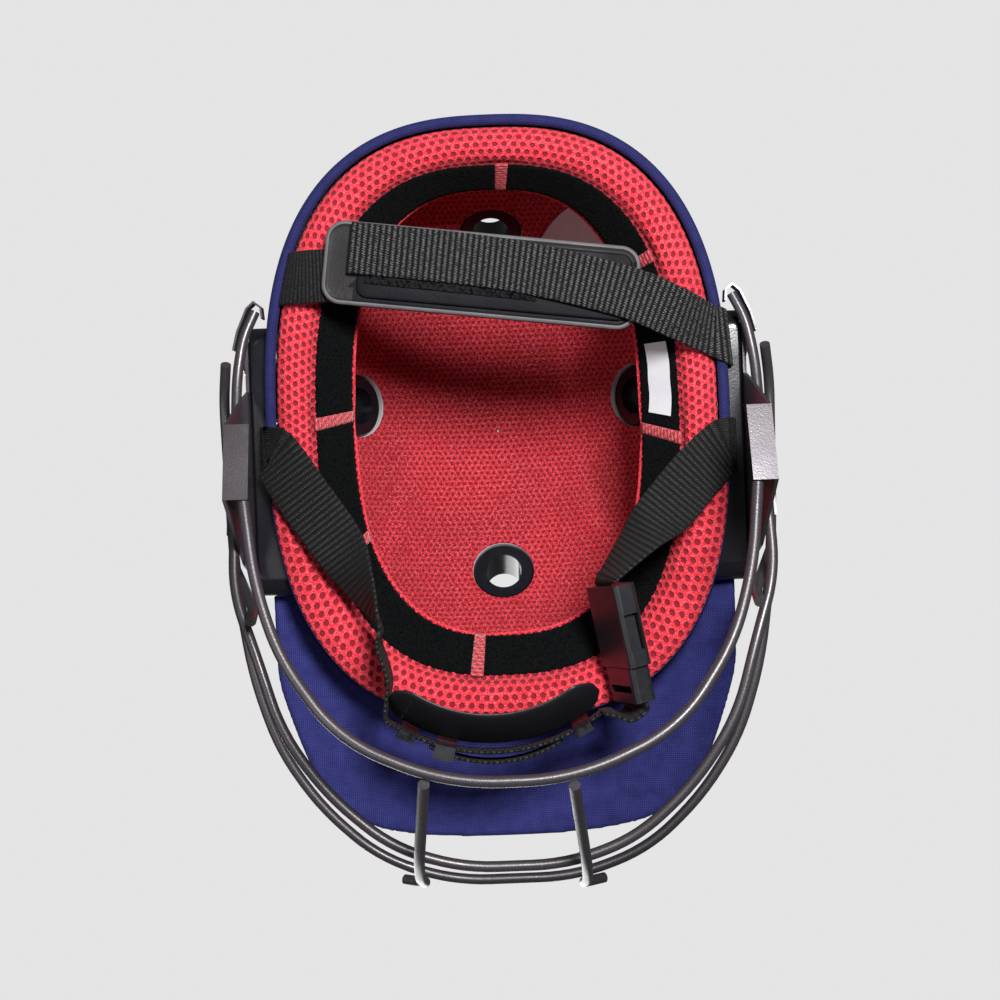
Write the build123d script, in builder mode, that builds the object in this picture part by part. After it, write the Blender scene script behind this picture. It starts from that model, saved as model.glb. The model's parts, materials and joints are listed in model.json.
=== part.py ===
# Cricket helmet with a steel face grille, chin strap and neck strap.
# Modelled level, in millimetres: the rim lies in Z = 0, the crown is up (+Z),
# the face looks along -Y and the wearer's left is +X.
# At the end the whole helmet is leaned back until it stands on its grille.

import os
from math import cos, degrees, radians, sin, tan

from build123d import *

os.makedirs("parts", exist_ok=True)

# Driving sizes of the shell
rim_half_width = 106.0
rim_front = -101.0
rim_back = 176.0
dome_height = 145.0
widest_level = 40.0
widest_bulge = 3.2
plan_power = 2.6
plan_point_count = 28
rising_angles = (18, 36, 53, 69)
cover_thickness = 1.0
shell_thickness = 3.0
foam_thickness = 18.0
lining_thickness = 0.9
seat_gap = 0.05
cut_overrun = 10.0

# Rolled cloth edge round the rim
piping_radius = 2.5

# Headband pad, the loop tape on its slope, and the bars stitched over the tape
pad_side_gap = 0.4
pad_bottom = -3.0
pad_top = 22.0
pad_foot_half_width = 85.0
pad_foot_front = -82.0
pad_foot_back = 155.0
pad_foot_level = 3.0
pad_top_half_width = 67.0
pad_top_front = -62.5
pad_top_back = 146.0
pad_round_across = 6.5
pad_round_up = 4.5
pad_round_angles = (0, 25, 50, 75, 90)
tape_gap = 0.2
tape_thickness = 1.5
tape_low = 4.0
tape_high = 20.0
stitch_bar_width = 7.0
stitch_bar_thickness = 2.0
stitch_bar_angles = (-83, 2, -173, 93, 134, -40)
crown_pad_low = 24.0

# Vent eyelets
vent_hole_radius = 9.5
vent_tube_wall = 1.3
vent_flange_radius = 16.0
vent_flange_thickness = 2.2
vent_cap_flange_radius = 14.5
vent_cap_wall = 1.2
vent_fit = 0.06
vent_seat_gap = 0.1
vent_cap_flange_thickness = 2.0
vent_side_y = 51.5
vent_angles = {"front": 51, "back": 33, "left": 35, "right": 35}

# Peak
peak_thickness = 5.0
peak_cloth = 0.8
peak_front = -159.5
peak_half_width = 108.0
peak_rear = -43.0
peak_root_level = 31.0
peak_drop_at_sides = 19.0
peak_droop = 4.0
peak_outline_shares = (
    (0.995, 0.42),
    (0.985, 0.51),
    (0.95, 0.60),
    (0.875, 0.745),
    (0.72, 0.905),
    (0.42, 0.982),
)

# Grille wires, all of one gauge
wire_radius = 2.35
weld_gap = 0.1
bend_share = 0.46
rest_lean = 17.2
top_bar_level = 8.0
top_bar_front = -174.8
top_bar_half_width = 126.0
top_bar_shares = (
    (0.984, 0.17),
    (0.929, 0.446),
    (0.841, 0.641),
    (0.698, 0.795),
    (0.492, 0.9325),
    (0.222, 1.0),
)
top_bar_rear = 58.0
top_bar_tuck = 8.0
middle_bar_level = -45.0
middle_bar_front = -155.5
middle_bar_half_width = 107.0
middle_bar_shares = ((1.0, 0.405), (0.907, 0.613), (0.729, 0.79), (0.486, 0.936), (0.206, 1.0))
middle_bar_side_front = -36.0
middle_bar_side_rear = 60.0
middle_bar_side_rise = 12.0
middle_bar_rear_level = -5.0
middle_bar_hook = 30.0
chin_bar_level = -96.0
chin_bar_front = -109.5
chin_bar_half_width = 106.4
chin_bar_shares = ((0.954, 0.274), (0.855, 0.548), (0.63, 0.84), (0.235, 1.0))
upright_spacing = 58.6
upright_offset = 5.0
upright_spread = 7.0
upright_splay = 10.0
upright_low_rise = 2.4
upright_stand_shares = (0.9, 2.02, 0.92)
side_upright_shares = ((1.002, -0.439, -0.467), (1.012, -0.402, -0.336), (1.146, -0.257, 0.039))

# Side plates, gussets, spacer blocks and the screws that hold them
plate_face = 113.3
plate_thickness = 1.5
plate_rear = 78.0
plate_front = -31.0
plate_top = 22.0
plate_nose = 22.0
plate_waist_y = -24.0
plate_waist_level = -22.0
plate_heel_y = 49.0
plate_heel_level = -15.0
plate_tail_level = 3.0
plate_corner = 5.0
flange_width = 9.0
flange_rear = 36.0
flange_front = 4.3
block_gap = 0.3
block_rear = 84.0
block_front = -41.0
block_low = 4.0
block_high = 32.0
block_corner = 9.0
gusset_thickness = 1.5
gusset_front = -11.0
gusset_rear = 40.0
rear_screw_y = 69.0
front_screw_y = 39.0
screw_level = 12.0
screw_radius = 2.5
screw_head_radius = 5.0
screw_head_height = 2.6
screw_socket_radius = 1.7
washer_radius = 7.0
washer_thickness = 1.0
nut_face = 101.4
nut_radius = 7.0
nut_thickness = 1.2
nut_pocket = 0.3
nut_barrel = 8.0
nut_wall = 1.0
pivot_clearance = 0.08
grille_swing = 3.0
clip_width = 7.0
clip_thickness = 0.9

# Webbing of the straps
webbing_width = 25.0
webbing_thickness = 1.6
webbing_seat_gap = 0.2

# Neck strap: places are shares of the rim's half width, turns are from the helmet's cross line
neck_webbing_width = 23.0
neck_elastic_width = 24.0
neck_web_shares = ((0.594, 1.085), (-0.038, 0.991), (-0.528, 0.863), (-0.755, 0.769), (-0.915, 0.698))
neck_web_turns = (188, 189, 198, 203, 190)
neck_rise_turn = 176
neck_rise_shares = ((-0.967, 0.676, 1.0), (-0.998, 0.663, 0.66), (-1.009, 0.658, -0.51))
neck_tape_shares = ((0.528, 0.991), (0.038, 0.92), (-0.189, 0.887))
neck_tape_turns = (188, 188, 190)
neck_elastic_shares = (0.585, 0.755, 0.868, 0.92)
neck_pad_length = 142.0
neck_pad_width = 38.0
neck_pad_thickness = 3.4
neck_panel_margin = 4.0
neck_panel_thickness = 1.2
neck_pad_level = -9.5
neck_pad_centre_x = 5.0
neck_pad_centre_y = 101.0
neck_pad_turn = 7.5
neck_pad_corner = 9.0
neck_pad_round = 1.35
hook_tape_thickness = 1.0

# Chin cup and the strap round it
cup_centre_x = 6.5
cup_centre_y = -31.0
cup_low_radius = 60.0
cup_high_radius = 75.0
cup_low = -46.0
cup_high = -24.0
cup_thickness = 3.0
cup_half_angle = 38.5
cup_corner = 7.0
strap_middle_level = -23.5
strap_round_gap = 1.9
strap_layer_gap = 0.1
strap_end_angle = 39.5
strap_right_angle = 36.0
strap_tail_angle = 21.0
keeper_angle = 16.0
keeper_width = 9.0
keeper_wall = 1.1
keeper_gap = 0.35
loop_angle = 29.0
loop_width = 8.0
loop_wall = 0.8

# Chin strap routes: middle places in shares of the rim's half width, then the strap's cross direction
chin_left_y = 25.0
strap_rise = 3.5
chin_left_shares = (
    (0.842, 0.054, -0.085, 0.48, -0.877, 0.0),
    (0.691, -0.165, -0.132, 0.407, -0.91, 0.082),
    (0.592, -0.349, -0.179, 0.392, -0.553, 0.737),
    (0.521, -0.495, -0.22, 0.062, -0.042, 1.0),
    (0.528, -0.679, -0.222, 0.0, 0.0, 1.0),
    (0.558, -0.811, -0.222, 0.0, 0.0, 1.0),
)
chin_right_y = 21.0
chin_right_shares = (
    (-0.836, 0.082, -0.09, -0.449, -0.893, -0.042),
    (-0.71, -0.051, -0.142, -0.467, -0.841, -0.295),
    (-0.571, -0.184, -0.198, -0.393, -0.393, -0.786),
)
chin_end_shares = ((-0.484, -0.92, -0.215, 0.17, 0.0, 1.0),)

# Blank sewn labels
ribbon_low = 8.5
ribbon_high = 19.5
ribbon_length = 34.0
ribbon_centre_y = 55.5
label_low = 50.0
label_high = 82.0
label_length = 44.0
label_corner = 2.0
label_centre_x = 42.0
label_thickness = 0.3

# Buckle
buckle_x = -49.4
buckle_y = -57.0
buckle_level = -22.0
buckle_turn = 10.1
buckle_tilt = 20.0
socket_length = 36.0
socket_width = 32.0
socket_thickness = 10.5
socket_wall = 1.8
socket_side_wall = 3.0
socket_floor = 8.0
socket_round = 2.4
window_low = 13.0
window_high = 29.0
strap_slot = 3.2
plug_gap = 0.4
plug_base_length = 15.5
plug_base_width = 27.0
plug_tongue_width = 5.0
prong_length = 25.0
prong_width = 4.4
prong_root_gap = 0.4


# Helpers shared by the pieces

centre_y = (rim_front + rim_back) / 2
wall_foot = piping_radius + seat_gap
dome_foot = wall_foot - cut_overrun
barrel_radius = screw_radius + seat_gap + nut_wall


def oval(half_width, front, back):
    """One level plan outline: a superellipse as a closed spline."""
    centre = (front + back) / 2
    reach = (back - front) / 2
    points = []
    for step in range(plan_point_count):
        turn = radians(360 * step / plan_point_count)
        across = abs(cos(turn)) ** (2 / plan_power)
        along = abs(sin(turn)) ** (2 / plan_power)
        x = half_width * across * (1 if cos(turn) >= 0 else -1)
        y = centre + reach * along * (1 if sin(turn) >= 0 else -1)
        points.append((x, y))
    with BuildLine(mode=Mode.PRIVATE) as outline:
        Spline(*points, periodic=True)
    make_face(outline.edges())


def grown_rim(level, inset):
    """How far the dome's wall stands outside the rim line, at a level at or below the widest one."""
    below = (widest_level - level) / widest_level
    return widest_bulge * (1 - below ** 2) - inset


def dome(inset, low, mode=Mode.ADD):
    """The helmet's rounded form, moved inwards by inset and cut flat at the level low."""
    sections = []
    for share in (0, 0.5, 1):
        level = dome_foot + (widest_level - dome_foot) * share
        grow = grown_rim(level, inset)
        with BuildSketch(Plane.XY.offset(level), mode=Mode.PRIVATE) as ring:
            oval(rim_half_width + grow, rim_front - grow, rim_back + grow)
        sections.append(ring.sketch)
    grow = grown_rim(widest_level, inset)
    reach = (rim_back - rim_front) / 2 + grow
    rise = dome_height - widest_level - inset
    for angle in rising_angles:
        narrow = cos(radians(angle))
        level = widest_level + rise * sin(radians(angle))
        with BuildSketch(Plane.XY.offset(level), mode=Mode.PRIVATE) as ring:
            oval((rim_half_width + grow) * narrow, centre_y - reach * narrow, centre_y + reach * narrow)
        sections.append(ring.sketch)
    crown = Vertex(0, centre_y, widest_level + rise)
    with BuildPart(mode=Mode.PRIVATE) as form:
        loft(sections=[*sections, crown])
        if low > dome_foot:
            split(bisect_by=Plane.XY.offset(low), keep=Keep.TOP)
    add(form.part, mode=mode)


def screw_bores(radius, start):
    """Cut the four screw holes, from the distance start outwards, through the piece in hand."""
    for sign in (1, -1):
        for y in (rear_screw_y, front_screw_y):
            plane = Plane((sign * start, y, screw_level), z_dir=(sign, 0, 0))
            with BuildSketch(plane, mode=Mode.PRIVATE) as hole:
                Circle(radius)
            extrude(hole.sketch, amount=2 * cut_overrun, mode=Mode.SUBTRACT)


def rounded_path(points):
    """Straight runs joined by arcs as large as the runs allow."""
    places = [Vector(*point) for point in points]
    radii = []
    for before, here, after in zip(places, places[1:], places[2:]):
        first, second = here - before, after - here
        half_turn = radians(first.get_angle(second)) / 2
        radii.append(bend_share * min(first.length, second.length) / tan(half_turn))
    return FilletPolyline(*points, radius=radii)


def wire(points):
    """A round steel wire along a rounded path."""
    with BuildLine(mode=Mode.PRIVATE) as route:
        rounded_path(points)
    with BuildSketch(Plane(route.line @ 0, z_dir=route.line % 0), mode=Mode.PRIVATE) as end:
        Circle(wire_radius)
    sweep(end.sketch, path=route.line)


def strip(edges, thickness, ruled=False):
    """A flat strap lofted through crosswise slices; each slice is given by its two edge points."""
    sides = [(Vector(*one), Vector(*two)) for one, two in edges]
    middles = [(one + two) * 0.5 for one, two in sides]
    slices = []
    for place, (one, two) in enumerate(sides):
        ahead = middles[min(place + 1, len(sides) - 1)] - middles[max(place - 1, 0)]
        across = (two - one).normalized()
        facing = (ahead - across * ahead.dot(across)).normalized()
        plane = Plane(middles[place], x_dir=across, z_dir=facing)
        with BuildSketch(plane, mode=Mode.PRIVATE) as cut:
            Rectangle((two - one).length, thickness)
        slices.append(cut.sketch)
    loft(sections=slices, ruled=ruled)


pieces = {}


def keep(builder, name):
    """Take a finished piece into the helmet under its node's name."""
    builder.part.label = name
    pieces[name] = builder.part


# Vents: places and directions, worked out on the inside of the crown lining

inner_inset = cover_thickness + shell_thickness + foam_thickness
inner_half_width = rim_half_width + grown_rim(widest_level, inner_inset)
inner_reach = (rim_back - rim_front) / 2 + grown_rim(widest_level, inner_inset)
inner_rise = dome_height - widest_level - inner_inset


def vent_plane(side):
    """The plane on the lining's inner face, its normal pointing out of the helmet."""
    angle = radians(vent_angles[side])
    if side in ("left", "right"):
        sign = 1 if side == "left" else -1
        origin = (sign * inner_half_width * cos(angle), vent_side_y, widest_level + inner_rise * sin(angle))
        normal = (sign * cos(angle) / inner_half_width, 0, sin(angle) / inner_rise)
    else:
        sign = -1 if side == "front" else 1
        origin = (0, centre_y + sign * inner_reach * cos(angle), widest_level + inner_rise * sin(angle))
        normal = (0, sign * cos(angle) / inner_reach, sin(angle) / inner_rise)
    return Plane(origin, z_dir=normal)


vent_planes = {side: vent_plane(side) for side in vent_angles}
vent_bore_radius = vent_hole_radius + vent_tube_wall + vent_fit + vent_cap_wall + vent_fit


def vent_bores():
    """Cut the four vent holes through the piece in hand."""
    for plane in vent_planes.values():
        with BuildSketch(plane.offset(-cut_overrun), mode=Mode.PRIVATE) as hole:
            Circle(vent_bore_radius)
        extrude(hole.sketch, amount=inner_inset + 2 * cut_overrun, mode=Mode.SUBTRACT)


# Cloth cover over the shell

with BuildPart() as shell_cover:
    dome(0, wall_foot)
    dome(cover_thickness, dome_foot, mode=Mode.SUBTRACT)
    vent_bores()
    screw_bores(barrel_radius + seat_gap, nut_face)
keep(shell_cover, "shell_cover")

# Hard shell

with BuildPart() as hard_shell:
    dome(cover_thickness + seat_gap, wall_foot)
    dome(cover_thickness + shell_thickness, dome_foot, mode=Mode.SUBTRACT)
    vent_bores()
    screw_bores(barrel_radius + seat_gap, nut_face - cut_overrun / 2)
keep(hard_shell, "hard_shell")

# Crown foam, with a pocket for each eyelet's flange

foam_inset = cover_thickness + shell_thickness + seat_gap
flange_seat_radius = vent_flange_radius + vent_fit

with BuildPart() as crown_foam:
    dome(foam_inset, crown_pad_low)
    dome(inner_inset, dome_foot, mode=Mode.SUBTRACT)
    vent_bores()
    for plane in vent_planes.values():
        with BuildSketch(plane.offset(-cut_overrun)):
            Circle(flange_seat_radius)
        extrude(amount=cut_overrun + vent_flange_thickness, mode=Mode.SUBTRACT)
keep(crown_foam, "crown_foam")

# Mesh lining on the foam

with BuildPart() as crown_lining:
    dome(inner_inset + seat_gap, crown_pad_low)
    dome(inner_inset + lining_thickness, dome_foot, mode=Mode.SUBTRACT)
    for plane in vent_planes.values():
        with BuildSketch(plane.offset(-cut_overrun)):
            Circle(flange_seat_radius)
        extrude(amount=2 * cut_overrun, mode=Mode.SUBTRACT)
keep(crown_lining, "crown_lining")

# Rolled piping along the rim

with BuildPart() as rim_piping:
    with BuildSketch(mode=Mode.PRIVATE) as rim_plan:
        oval(rim_half_width - piping_radius, rim_front + piping_radius, rim_back - piping_radius)
    rim_line = rim_plan.sketch.face().outer_wire()
    with BuildSketch(Plane(rim_line @ 0, z_dir=rim_line % 0)):
        Circle(piping_radius)
    sweep(path=rim_line)
keep(rim_piping, "rim_piping")

# Headband pad: a wedge-shaped ring, thick at the top, with soft lower edges


def slope_oval(level, inset=0.0):
    """The pad's sloping inner face at a level, moved towards the head by inset."""
    share = (level - pad_foot_level) / (pad_top - pad_foot_level)
    half = pad_foot_half_width + (pad_top_half_width - pad_foot_half_width) * share - inset
    front = pad_foot_front + (pad_top_front - pad_foot_front) * share + inset
    back = pad_foot_back + (pad_top_back - pad_foot_back) * share - inset
    oval(half, front, back)


pad_inset = cover_thickness + shell_thickness + pad_side_gap + piping_radius / 2

with BuildPart() as headband_pad:
    outer_walls = []
    with BuildSketch(Plane.XY.offset(pad_bottom - pad_round_up / 4), mode=Mode.PRIVATE) as ring:
        slope_oval(pad_bottom, -pad_round_across * 1.25)
    inner_walls = [ring.sketch]
    for turn in pad_round_angles:
        level = pad_bottom + pad_round_up * (1 - cos(radians(turn)))
        rounded = pad_round_across * (1 - sin(radians(turn)))
        grow = grown_rim(level, pad_inset + rounded)
        with BuildSketch(Plane.XY.offset(level), mode=Mode.PRIVATE) as ring:
            oval(rim_half_width + grow, rim_front - grow, rim_back + grow)
        outer_walls.append(ring.sketch)
        with BuildSketch(Plane.XY.offset(level), mode=Mode.PRIVATE) as ring:
            slope_oval(level, -rounded)
        inner_walls.append(ring.sketch)
    for level in ((pad_bottom + pad_round_up + pad_top) / 2, pad_top):
        grow = grown_rim(level, pad_inset)
        with BuildSketch(Plane.XY.offset(level), mode=Mode.PRIVATE) as ring:
            oval(rim_half_width + grow, rim_front - grow, rim_back + grow)
        outer_walls.append(ring.sketch)
    for level in ((pad_bottom + pad_round_up + pad_top) / 2, pad_top + pad_foot_level):
        with BuildSketch(Plane.XY.offset(level), mode=Mode.PRIVATE) as ring:
            slope_oval(level)
        inner_walls.append(ring.sketch)
    loft(sections=outer_walls, ruled=True)
    loft(sections=inner_walls, ruled=True, mode=Mode.SUBTRACT)
    screw_bores(nut_radius + nut_pocket, nut_face - nut_thickness - nut_pocket)
keep(headband_pad, "headband_pad")

# Loop tape on the slope, in the lengths left between the stitched bars


def slope_ring(low, high, near, far):
    """A ring lying on the slope between two levels and two distances from it."""
    for inset, mode in ((near, Mode.ADD), (far, Mode.SUBTRACT)):
        margin = 0 if mode == Mode.ADD else seat_gap
        walls = []
        for level in (low - margin, high + margin):
            with BuildSketch(Plane.XY.offset(level), mode=Mode.PRIVATE) as ring:
                slope_oval(level, inset)
            walls.append(ring.sketch)
        loft(sections=walls, ruled=True, mode=mode)


def spokes(width, mode):
    """Upright walls across the slope at each stitched bar."""
    walls = []
    for angle in stitch_bar_angles:
        ray = Vector(cos(radians(angle)), sin(radians(angle)))
        start = Vector(0, centre_y)
        plane = Plane(start + ray * rim_back / 2, x_dir=ray, z_dir=(0, 0, 1))
        with BuildSketch(plane.offset(pad_bottom), mode=Mode.PRIVATE) as wall:
            Rectangle(rim_back, width)
        walls.append(extrude(wall.sketch, amount=pad_top - pad_bottom, mode=Mode.PRIVATE))
    add(walls, mode=mode)


with BuildPart() as loop_tape:
    slope_ring(tape_low, tape_high, tape_gap, tape_thickness)
    spokes(stitch_bar_width, Mode.SUBTRACT)
keep(loop_tape, "loop_tape")

with BuildPart() as stitch_bars:
    slope_ring(tape_low, tape_high, tape_gap, stitch_bar_thickness)
    spokes(stitch_bar_width - 2 * seat_gap, Mode.INTERSECT)
keep(stitch_bars, "stitch_bars")

# Vent eyelets: an inner one with its tube, and a cap that closes over it outside


def turned(plane, profile):
    """A ring turned about a plane's normal from (radius, height) corners."""
    with BuildSketch(Plane(plane.origin, x_dir=plane.x_dir, z_dir=-plane.y_dir), mode=Mode.PRIVATE) as half:
        with BuildLine():
            Polyline(*profile, close=True)
        make_face()
    revolve(half.sketch, axis=Axis(plane.origin, plane.z_dir))


vent_depth = inner_inset + vent_seat_gap
vent_tube_radius = vent_hole_radius + vent_tube_wall
vent_lip = vent_flange_thickness / 2

for side, plane in vent_planes.items():
    with BuildPart() as eyelet:
        turned(plane, [
            (vent_hole_radius, -vent_lip / 2),
            (vent_flange_radius - vent_lip, -vent_lip / 2),
            (vent_flange_radius, vent_lip),
            (vent_flange_radius, vent_flange_thickness - seat_gap),
            (vent_tube_radius, vent_flange_thickness - seat_gap),
            (vent_tube_radius, vent_depth),
            (vent_hole_radius, vent_depth),
        ])
    keep(eyelet, f"vent_eyelet_{side}")
    with BuildPart() as cap:
        turned(plane, [
            (vent_tube_radius + vent_fit, vent_depth - foam_thickness / 2),
            (vent_tube_radius + vent_fit + vent_cap_wall, vent_depth - foam_thickness / 2),
            (vent_tube_radius + vent_fit + vent_cap_wall, vent_depth + vent_seat_gap),
            (vent_cap_flange_radius, vent_depth + vent_seat_gap),
            (vent_cap_flange_radius, vent_depth + vent_cap_flange_thickness / 2),
            (vent_tube_radius + vent_fit, vent_depth + vent_cap_flange_thickness),
        ])
    keep(cap, f"vent_cap_{side}")

# Peak: an arched core inside a sleeve of cloth, both ending on the shell

peak_arch = (peak_half_width ** 2 + peak_drop_at_sides ** 2) / (2 * peak_drop_at_sides)


def peak_form(inset):
    """The peak's plan cut out of an arched sheet, moved inwards by inset all round."""
    half = peak_half_width - inset
    front = peak_front + inset
    ahead = (0, -cos(radians(peak_droop)), -sin(radians(peak_droop)))
    root = Vector(0, rim_front, peak_root_level - peak_arch)
    start = root - Vector(*ahead) * rim_half_width
    with BuildSketch(Plane(start, x_dir=(1, 0, 0), z_dir=ahead), mode=Mode.PRIVATE) as arch:
        Circle(peak_arch + peak_thickness - inset)
        Circle(peak_arch + inset, mode=Mode.SUBTRACT)
    sheet = extrude(arch.sketch, amount=2 * rim_half_width, mode=Mode.PRIVATE)
    outline = [(half * across, front * along) for across, along in peak_outline_shares]
    with BuildSketch(Plane.XY.offset(-cut_overrun), mode=Mode.PRIVATE) as plan:
        with BuildLine():
            left = [(half, peak_rear), *outline]
            right = [(-x, y) for x, y in reversed(left)]
            edge = Spline(*left, (0, front), *right)
            Line(edge @ 1, edge @ 0)
        make_face()
    height = peak_root_level + peak_thickness + 2 * cut_overrun
    block = extrude(plan.sketch, amount=height, mode=Mode.PRIVATE)
    return sheet & block


with BuildPart() as peak_core:
    add(peak_form(peak_cloth + seat_gap))
    dome(-seat_gap, dome_foot, mode=Mode.SUBTRACT)
keep(peak_core, "peak_core")

with BuildPart() as peak_cover:
    add(peak_form(0))
    add(peak_form(peak_cloth), mode=Mode.SUBTRACT)
    dome(-seat_gap, dome_foot, mode=Mode.SUBTRACT)
keep(peak_cover, "peak_cover")

# Grille: three cross bars; the chin bar lies in the plane that the helmet stands on

lean = tan(radians(rest_lean))


def chin_plane(y):
    """The level of the chin bar's centre line."""
    return chin_bar_level + (y - chin_bar_front) * lean


def foot_plane(y):
    """The level of what the helmet stands on."""
    return chin_plane(y) - wire_radius / cos(radians(rest_lean))


def both_sides(points):
    """A symmetric bar's points, from the left rear end round the front to the right rear end."""
    return [*points, *[(-x, y, z) for x, y, z in reversed(points)]]


wire_face = plate_face + plate_thickness + weld_gap + wire_radius

top_bar_points = [
    (wire_face + 2 * wire_radius + weld_gap, top_bar_rear + top_bar_tuck, middle_bar_rear_level + weld_gap),
    (top_bar_half_width, top_bar_rear - top_bar_tuck, top_bar_level),
]
for across, along in top_bar_shares:
    top_bar_points.append((top_bar_half_width * across, top_bar_front * along, top_bar_level))

side_low = middle_bar_level + middle_bar_side_rise
hook_x = wire_face - middle_bar_side_rise * 0.7
hook_y = middle_bar_side_rear + middle_bar_hook
bend_x = wire_face - middle_bar_side_rise * 0.25
middle_bar_points = [
    (hook_x, hook_y, 0),
    (bend_x, hook_y - middle_bar_hook * 0.4, middle_bar_rear_level / 2),
    (wire_face, middle_bar_side_rear, middle_bar_rear_level),
    (wire_face, middle_bar_side_front, side_low),
]
for place, (across, along) in enumerate(middle_bar_shares):
    level = middle_bar_level + (middle_bar_side_rise / 3 if place == 0 else 0)
    middle_bar_points.append((middle_bar_half_width * across, middle_bar_front * along, level))

chin_bar_end = flange_front - weld_gap - wire_radius / 2
chin_bar_points = [(chin_bar_half_width, chin_bar_end, chin_plane(chin_bar_end))]
for across, along in chin_bar_shares:
    y = chin_bar_front * along
    chin_bar_points.append((chin_bar_half_width * across, y, chin_plane(y)))

bars = {"top_bar": top_bar_points, "middle_bar": middle_bar_points, "chin_bar": chin_bar_points}
for name, points in bars.items():
    with BuildPart() as bar:
        wire(both_sides(points))
    keep(bar, name)

# Short upright wires: two at the front, bent over at the top, and one at each side


def bar_front(name, across):
    """How far forward a bar's centre line stands at a distance from the middle."""
    with BuildLine(mode=Mode.PRIVATE) as route:
        rounded_path(both_sides(bars[name]))
    rear, front = 0.25, 0.5
    for halving in range(20):
        middle = (rear + front) / 2
        if (route.line @ middle).X > abs(across):
            rear = middle
        else:
            front = middle
    return (route.line @ rear).Y


for side, sign in (("left", 1), ("right", -1)):
    foot_x = upright_offset + sign * upright_spacing / 2
    head_x = foot_x + sign * upright_spread
    gauge = 2 * wire_radius + weld_gap
    foot_y = bar_front("chin_bar", foot_x) - gauge * upright_stand_shares[0]
    middle_y = bar_front("middle_bar", head_x) - gauge * upright_stand_shares[1]
    head_y = bar_front("top_bar", head_x) - gauge * upright_stand_shares[2]
    with BuildPart() as upright:
        wire([
            (foot_x, foot_y, foot_plane(foot_y) + upright_low_rise),
            (head_x, middle_y, middle_bar_level),
            (head_x, head_y, top_bar_level - wire_radius),
            (head_x + sign * upright_splay, head_y, top_bar_level + wire_radius * 2),
        ])
    keep(upright, f"centre_upright_{side}")
    with BuildPart() as side_upright:
        wire([(sign * x * middle_bar_half_width, y * middle_bar_half_width, z * middle_bar_half_width)
              for x, y, z in side_upright_shares])
    keep(side_upright, f"side_upright_{side}")


def keep_pair(builder, name):
    """Keep a left-hand piece and its mirror image."""
    keep(builder, f"{name}_left")
    with BuildPart() as twin:
        mirror(builder.part, about=Plane.YZ)
    keep(twin, f"{name}_right")


# Side plates: bent steel, with a flange at the foot that the chin bar's ends meet

plate_plane = Plane((plate_face, 0, 0), x_dir=(0, 1, 0), z_dir=(1, 0, 0))
sheet_rise = plate_thickness / cos(radians(rest_lean))
screw_reach = rear_screw_y - front_screw_y

with BuildPart() as side_plate:
    with BuildSketch(plate_plane):
        with BuildLine():
            Polyline(
                (plate_rear, plate_top),
                (plate_front, plate_top),
                (plate_front, plate_top - plate_nose),
                (plate_waist_y, plate_waist_level),
                (flange_front, foot_plane(flange_front)),
                (flange_rear, foot_plane(flange_rear)),
                (plate_heel_y, plate_heel_level),
                (plate_heel_y + plate_corner, plate_tail_level),
                (plate_rear, plate_tail_level),
                close=True,
            )
        make_face()
        fillet(vertices().group_by(Axis.X)[0] + vertices().group_by(Axis.X)[-1], plate_corner)
        with Locations((rear_screw_y, screw_level)):
            Circle(screw_radius + pivot_clearance, mode=Mode.SUBTRACT)
        with Locations((front_screw_y, screw_level)):
            SlotCenterToCenter(
                2 * screw_reach * sin(radians(grille_swing)),
                2 * (screw_radius + 2 * pivot_clearance),
                rotation=90,
                mode=Mode.SUBTRACT,
            )
    extrude(amount=plate_thickness)
    with BuildSketch(plate_plane):
        with BuildLine():
            Polyline(
                (flange_front, foot_plane(flange_front)),
                (flange_rear, foot_plane(flange_rear)),
                (flange_rear, foot_plane(flange_rear) + sheet_rise),
                (flange_front, foot_plane(flange_front) + sheet_rise),
                close=True,
            )
        make_face()
    extrude(amount=-flange_width)
keep_pair(side_plate, "side_plate")

# Gussets between the top bar and the middle bar's side runs


def middle_side_level(y):
    """The level of the middle bar's straight side run."""
    rise = (middle_bar_rear_level - side_low) / (middle_bar_side_rear - middle_bar_side_front)
    return middle_bar_rear_level + (y - middle_bar_side_rear) * rise


with BuildPart() as gusset:
    gusset_edges = []
    run_rear = top_bar_rear - top_bar_tuck
    for y in (gusset_front, gusset_rear):
        ahead = (run_rear - y) / (run_rear - top_bar_front * top_bar_shares[0][1])
        outside = top_bar_half_width * (1 - (1 - top_bar_shares[0][0]) * ahead)
        gusset_edges.append((
            (wire_face + wire_radius * 1.25, y, middle_side_level(y) + wire_radius / 2),
            (outside - wire_radius * 0.85, y, top_bar_level - wire_radius * 1.15),
        ))
    strip(gusset_edges, gusset_thickness, ruled=True)
keep_pair(gusset, "gusset")

# Folded clips round the middle bar's rear ends

clip_reach = wire_radius + 2 * clip_thickness
clip_line = [
    (wire_face + clip_reach * 0.4, hook_y - middle_bar_hook * 0.58),
    (hook_x + clip_reach * 1.9, hook_y - middle_bar_hook * 0.3),
    (hook_x + clip_reach * 0.8, hook_y + clip_reach * 0.3),
    (hook_x, hook_y + clip_reach),
    (hook_x - clip_reach * 0.75, hook_y + clip_reach * 0.4),
    (hook_x - clip_reach * 0.85, hook_y - clip_reach * 0.8),
]


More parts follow.
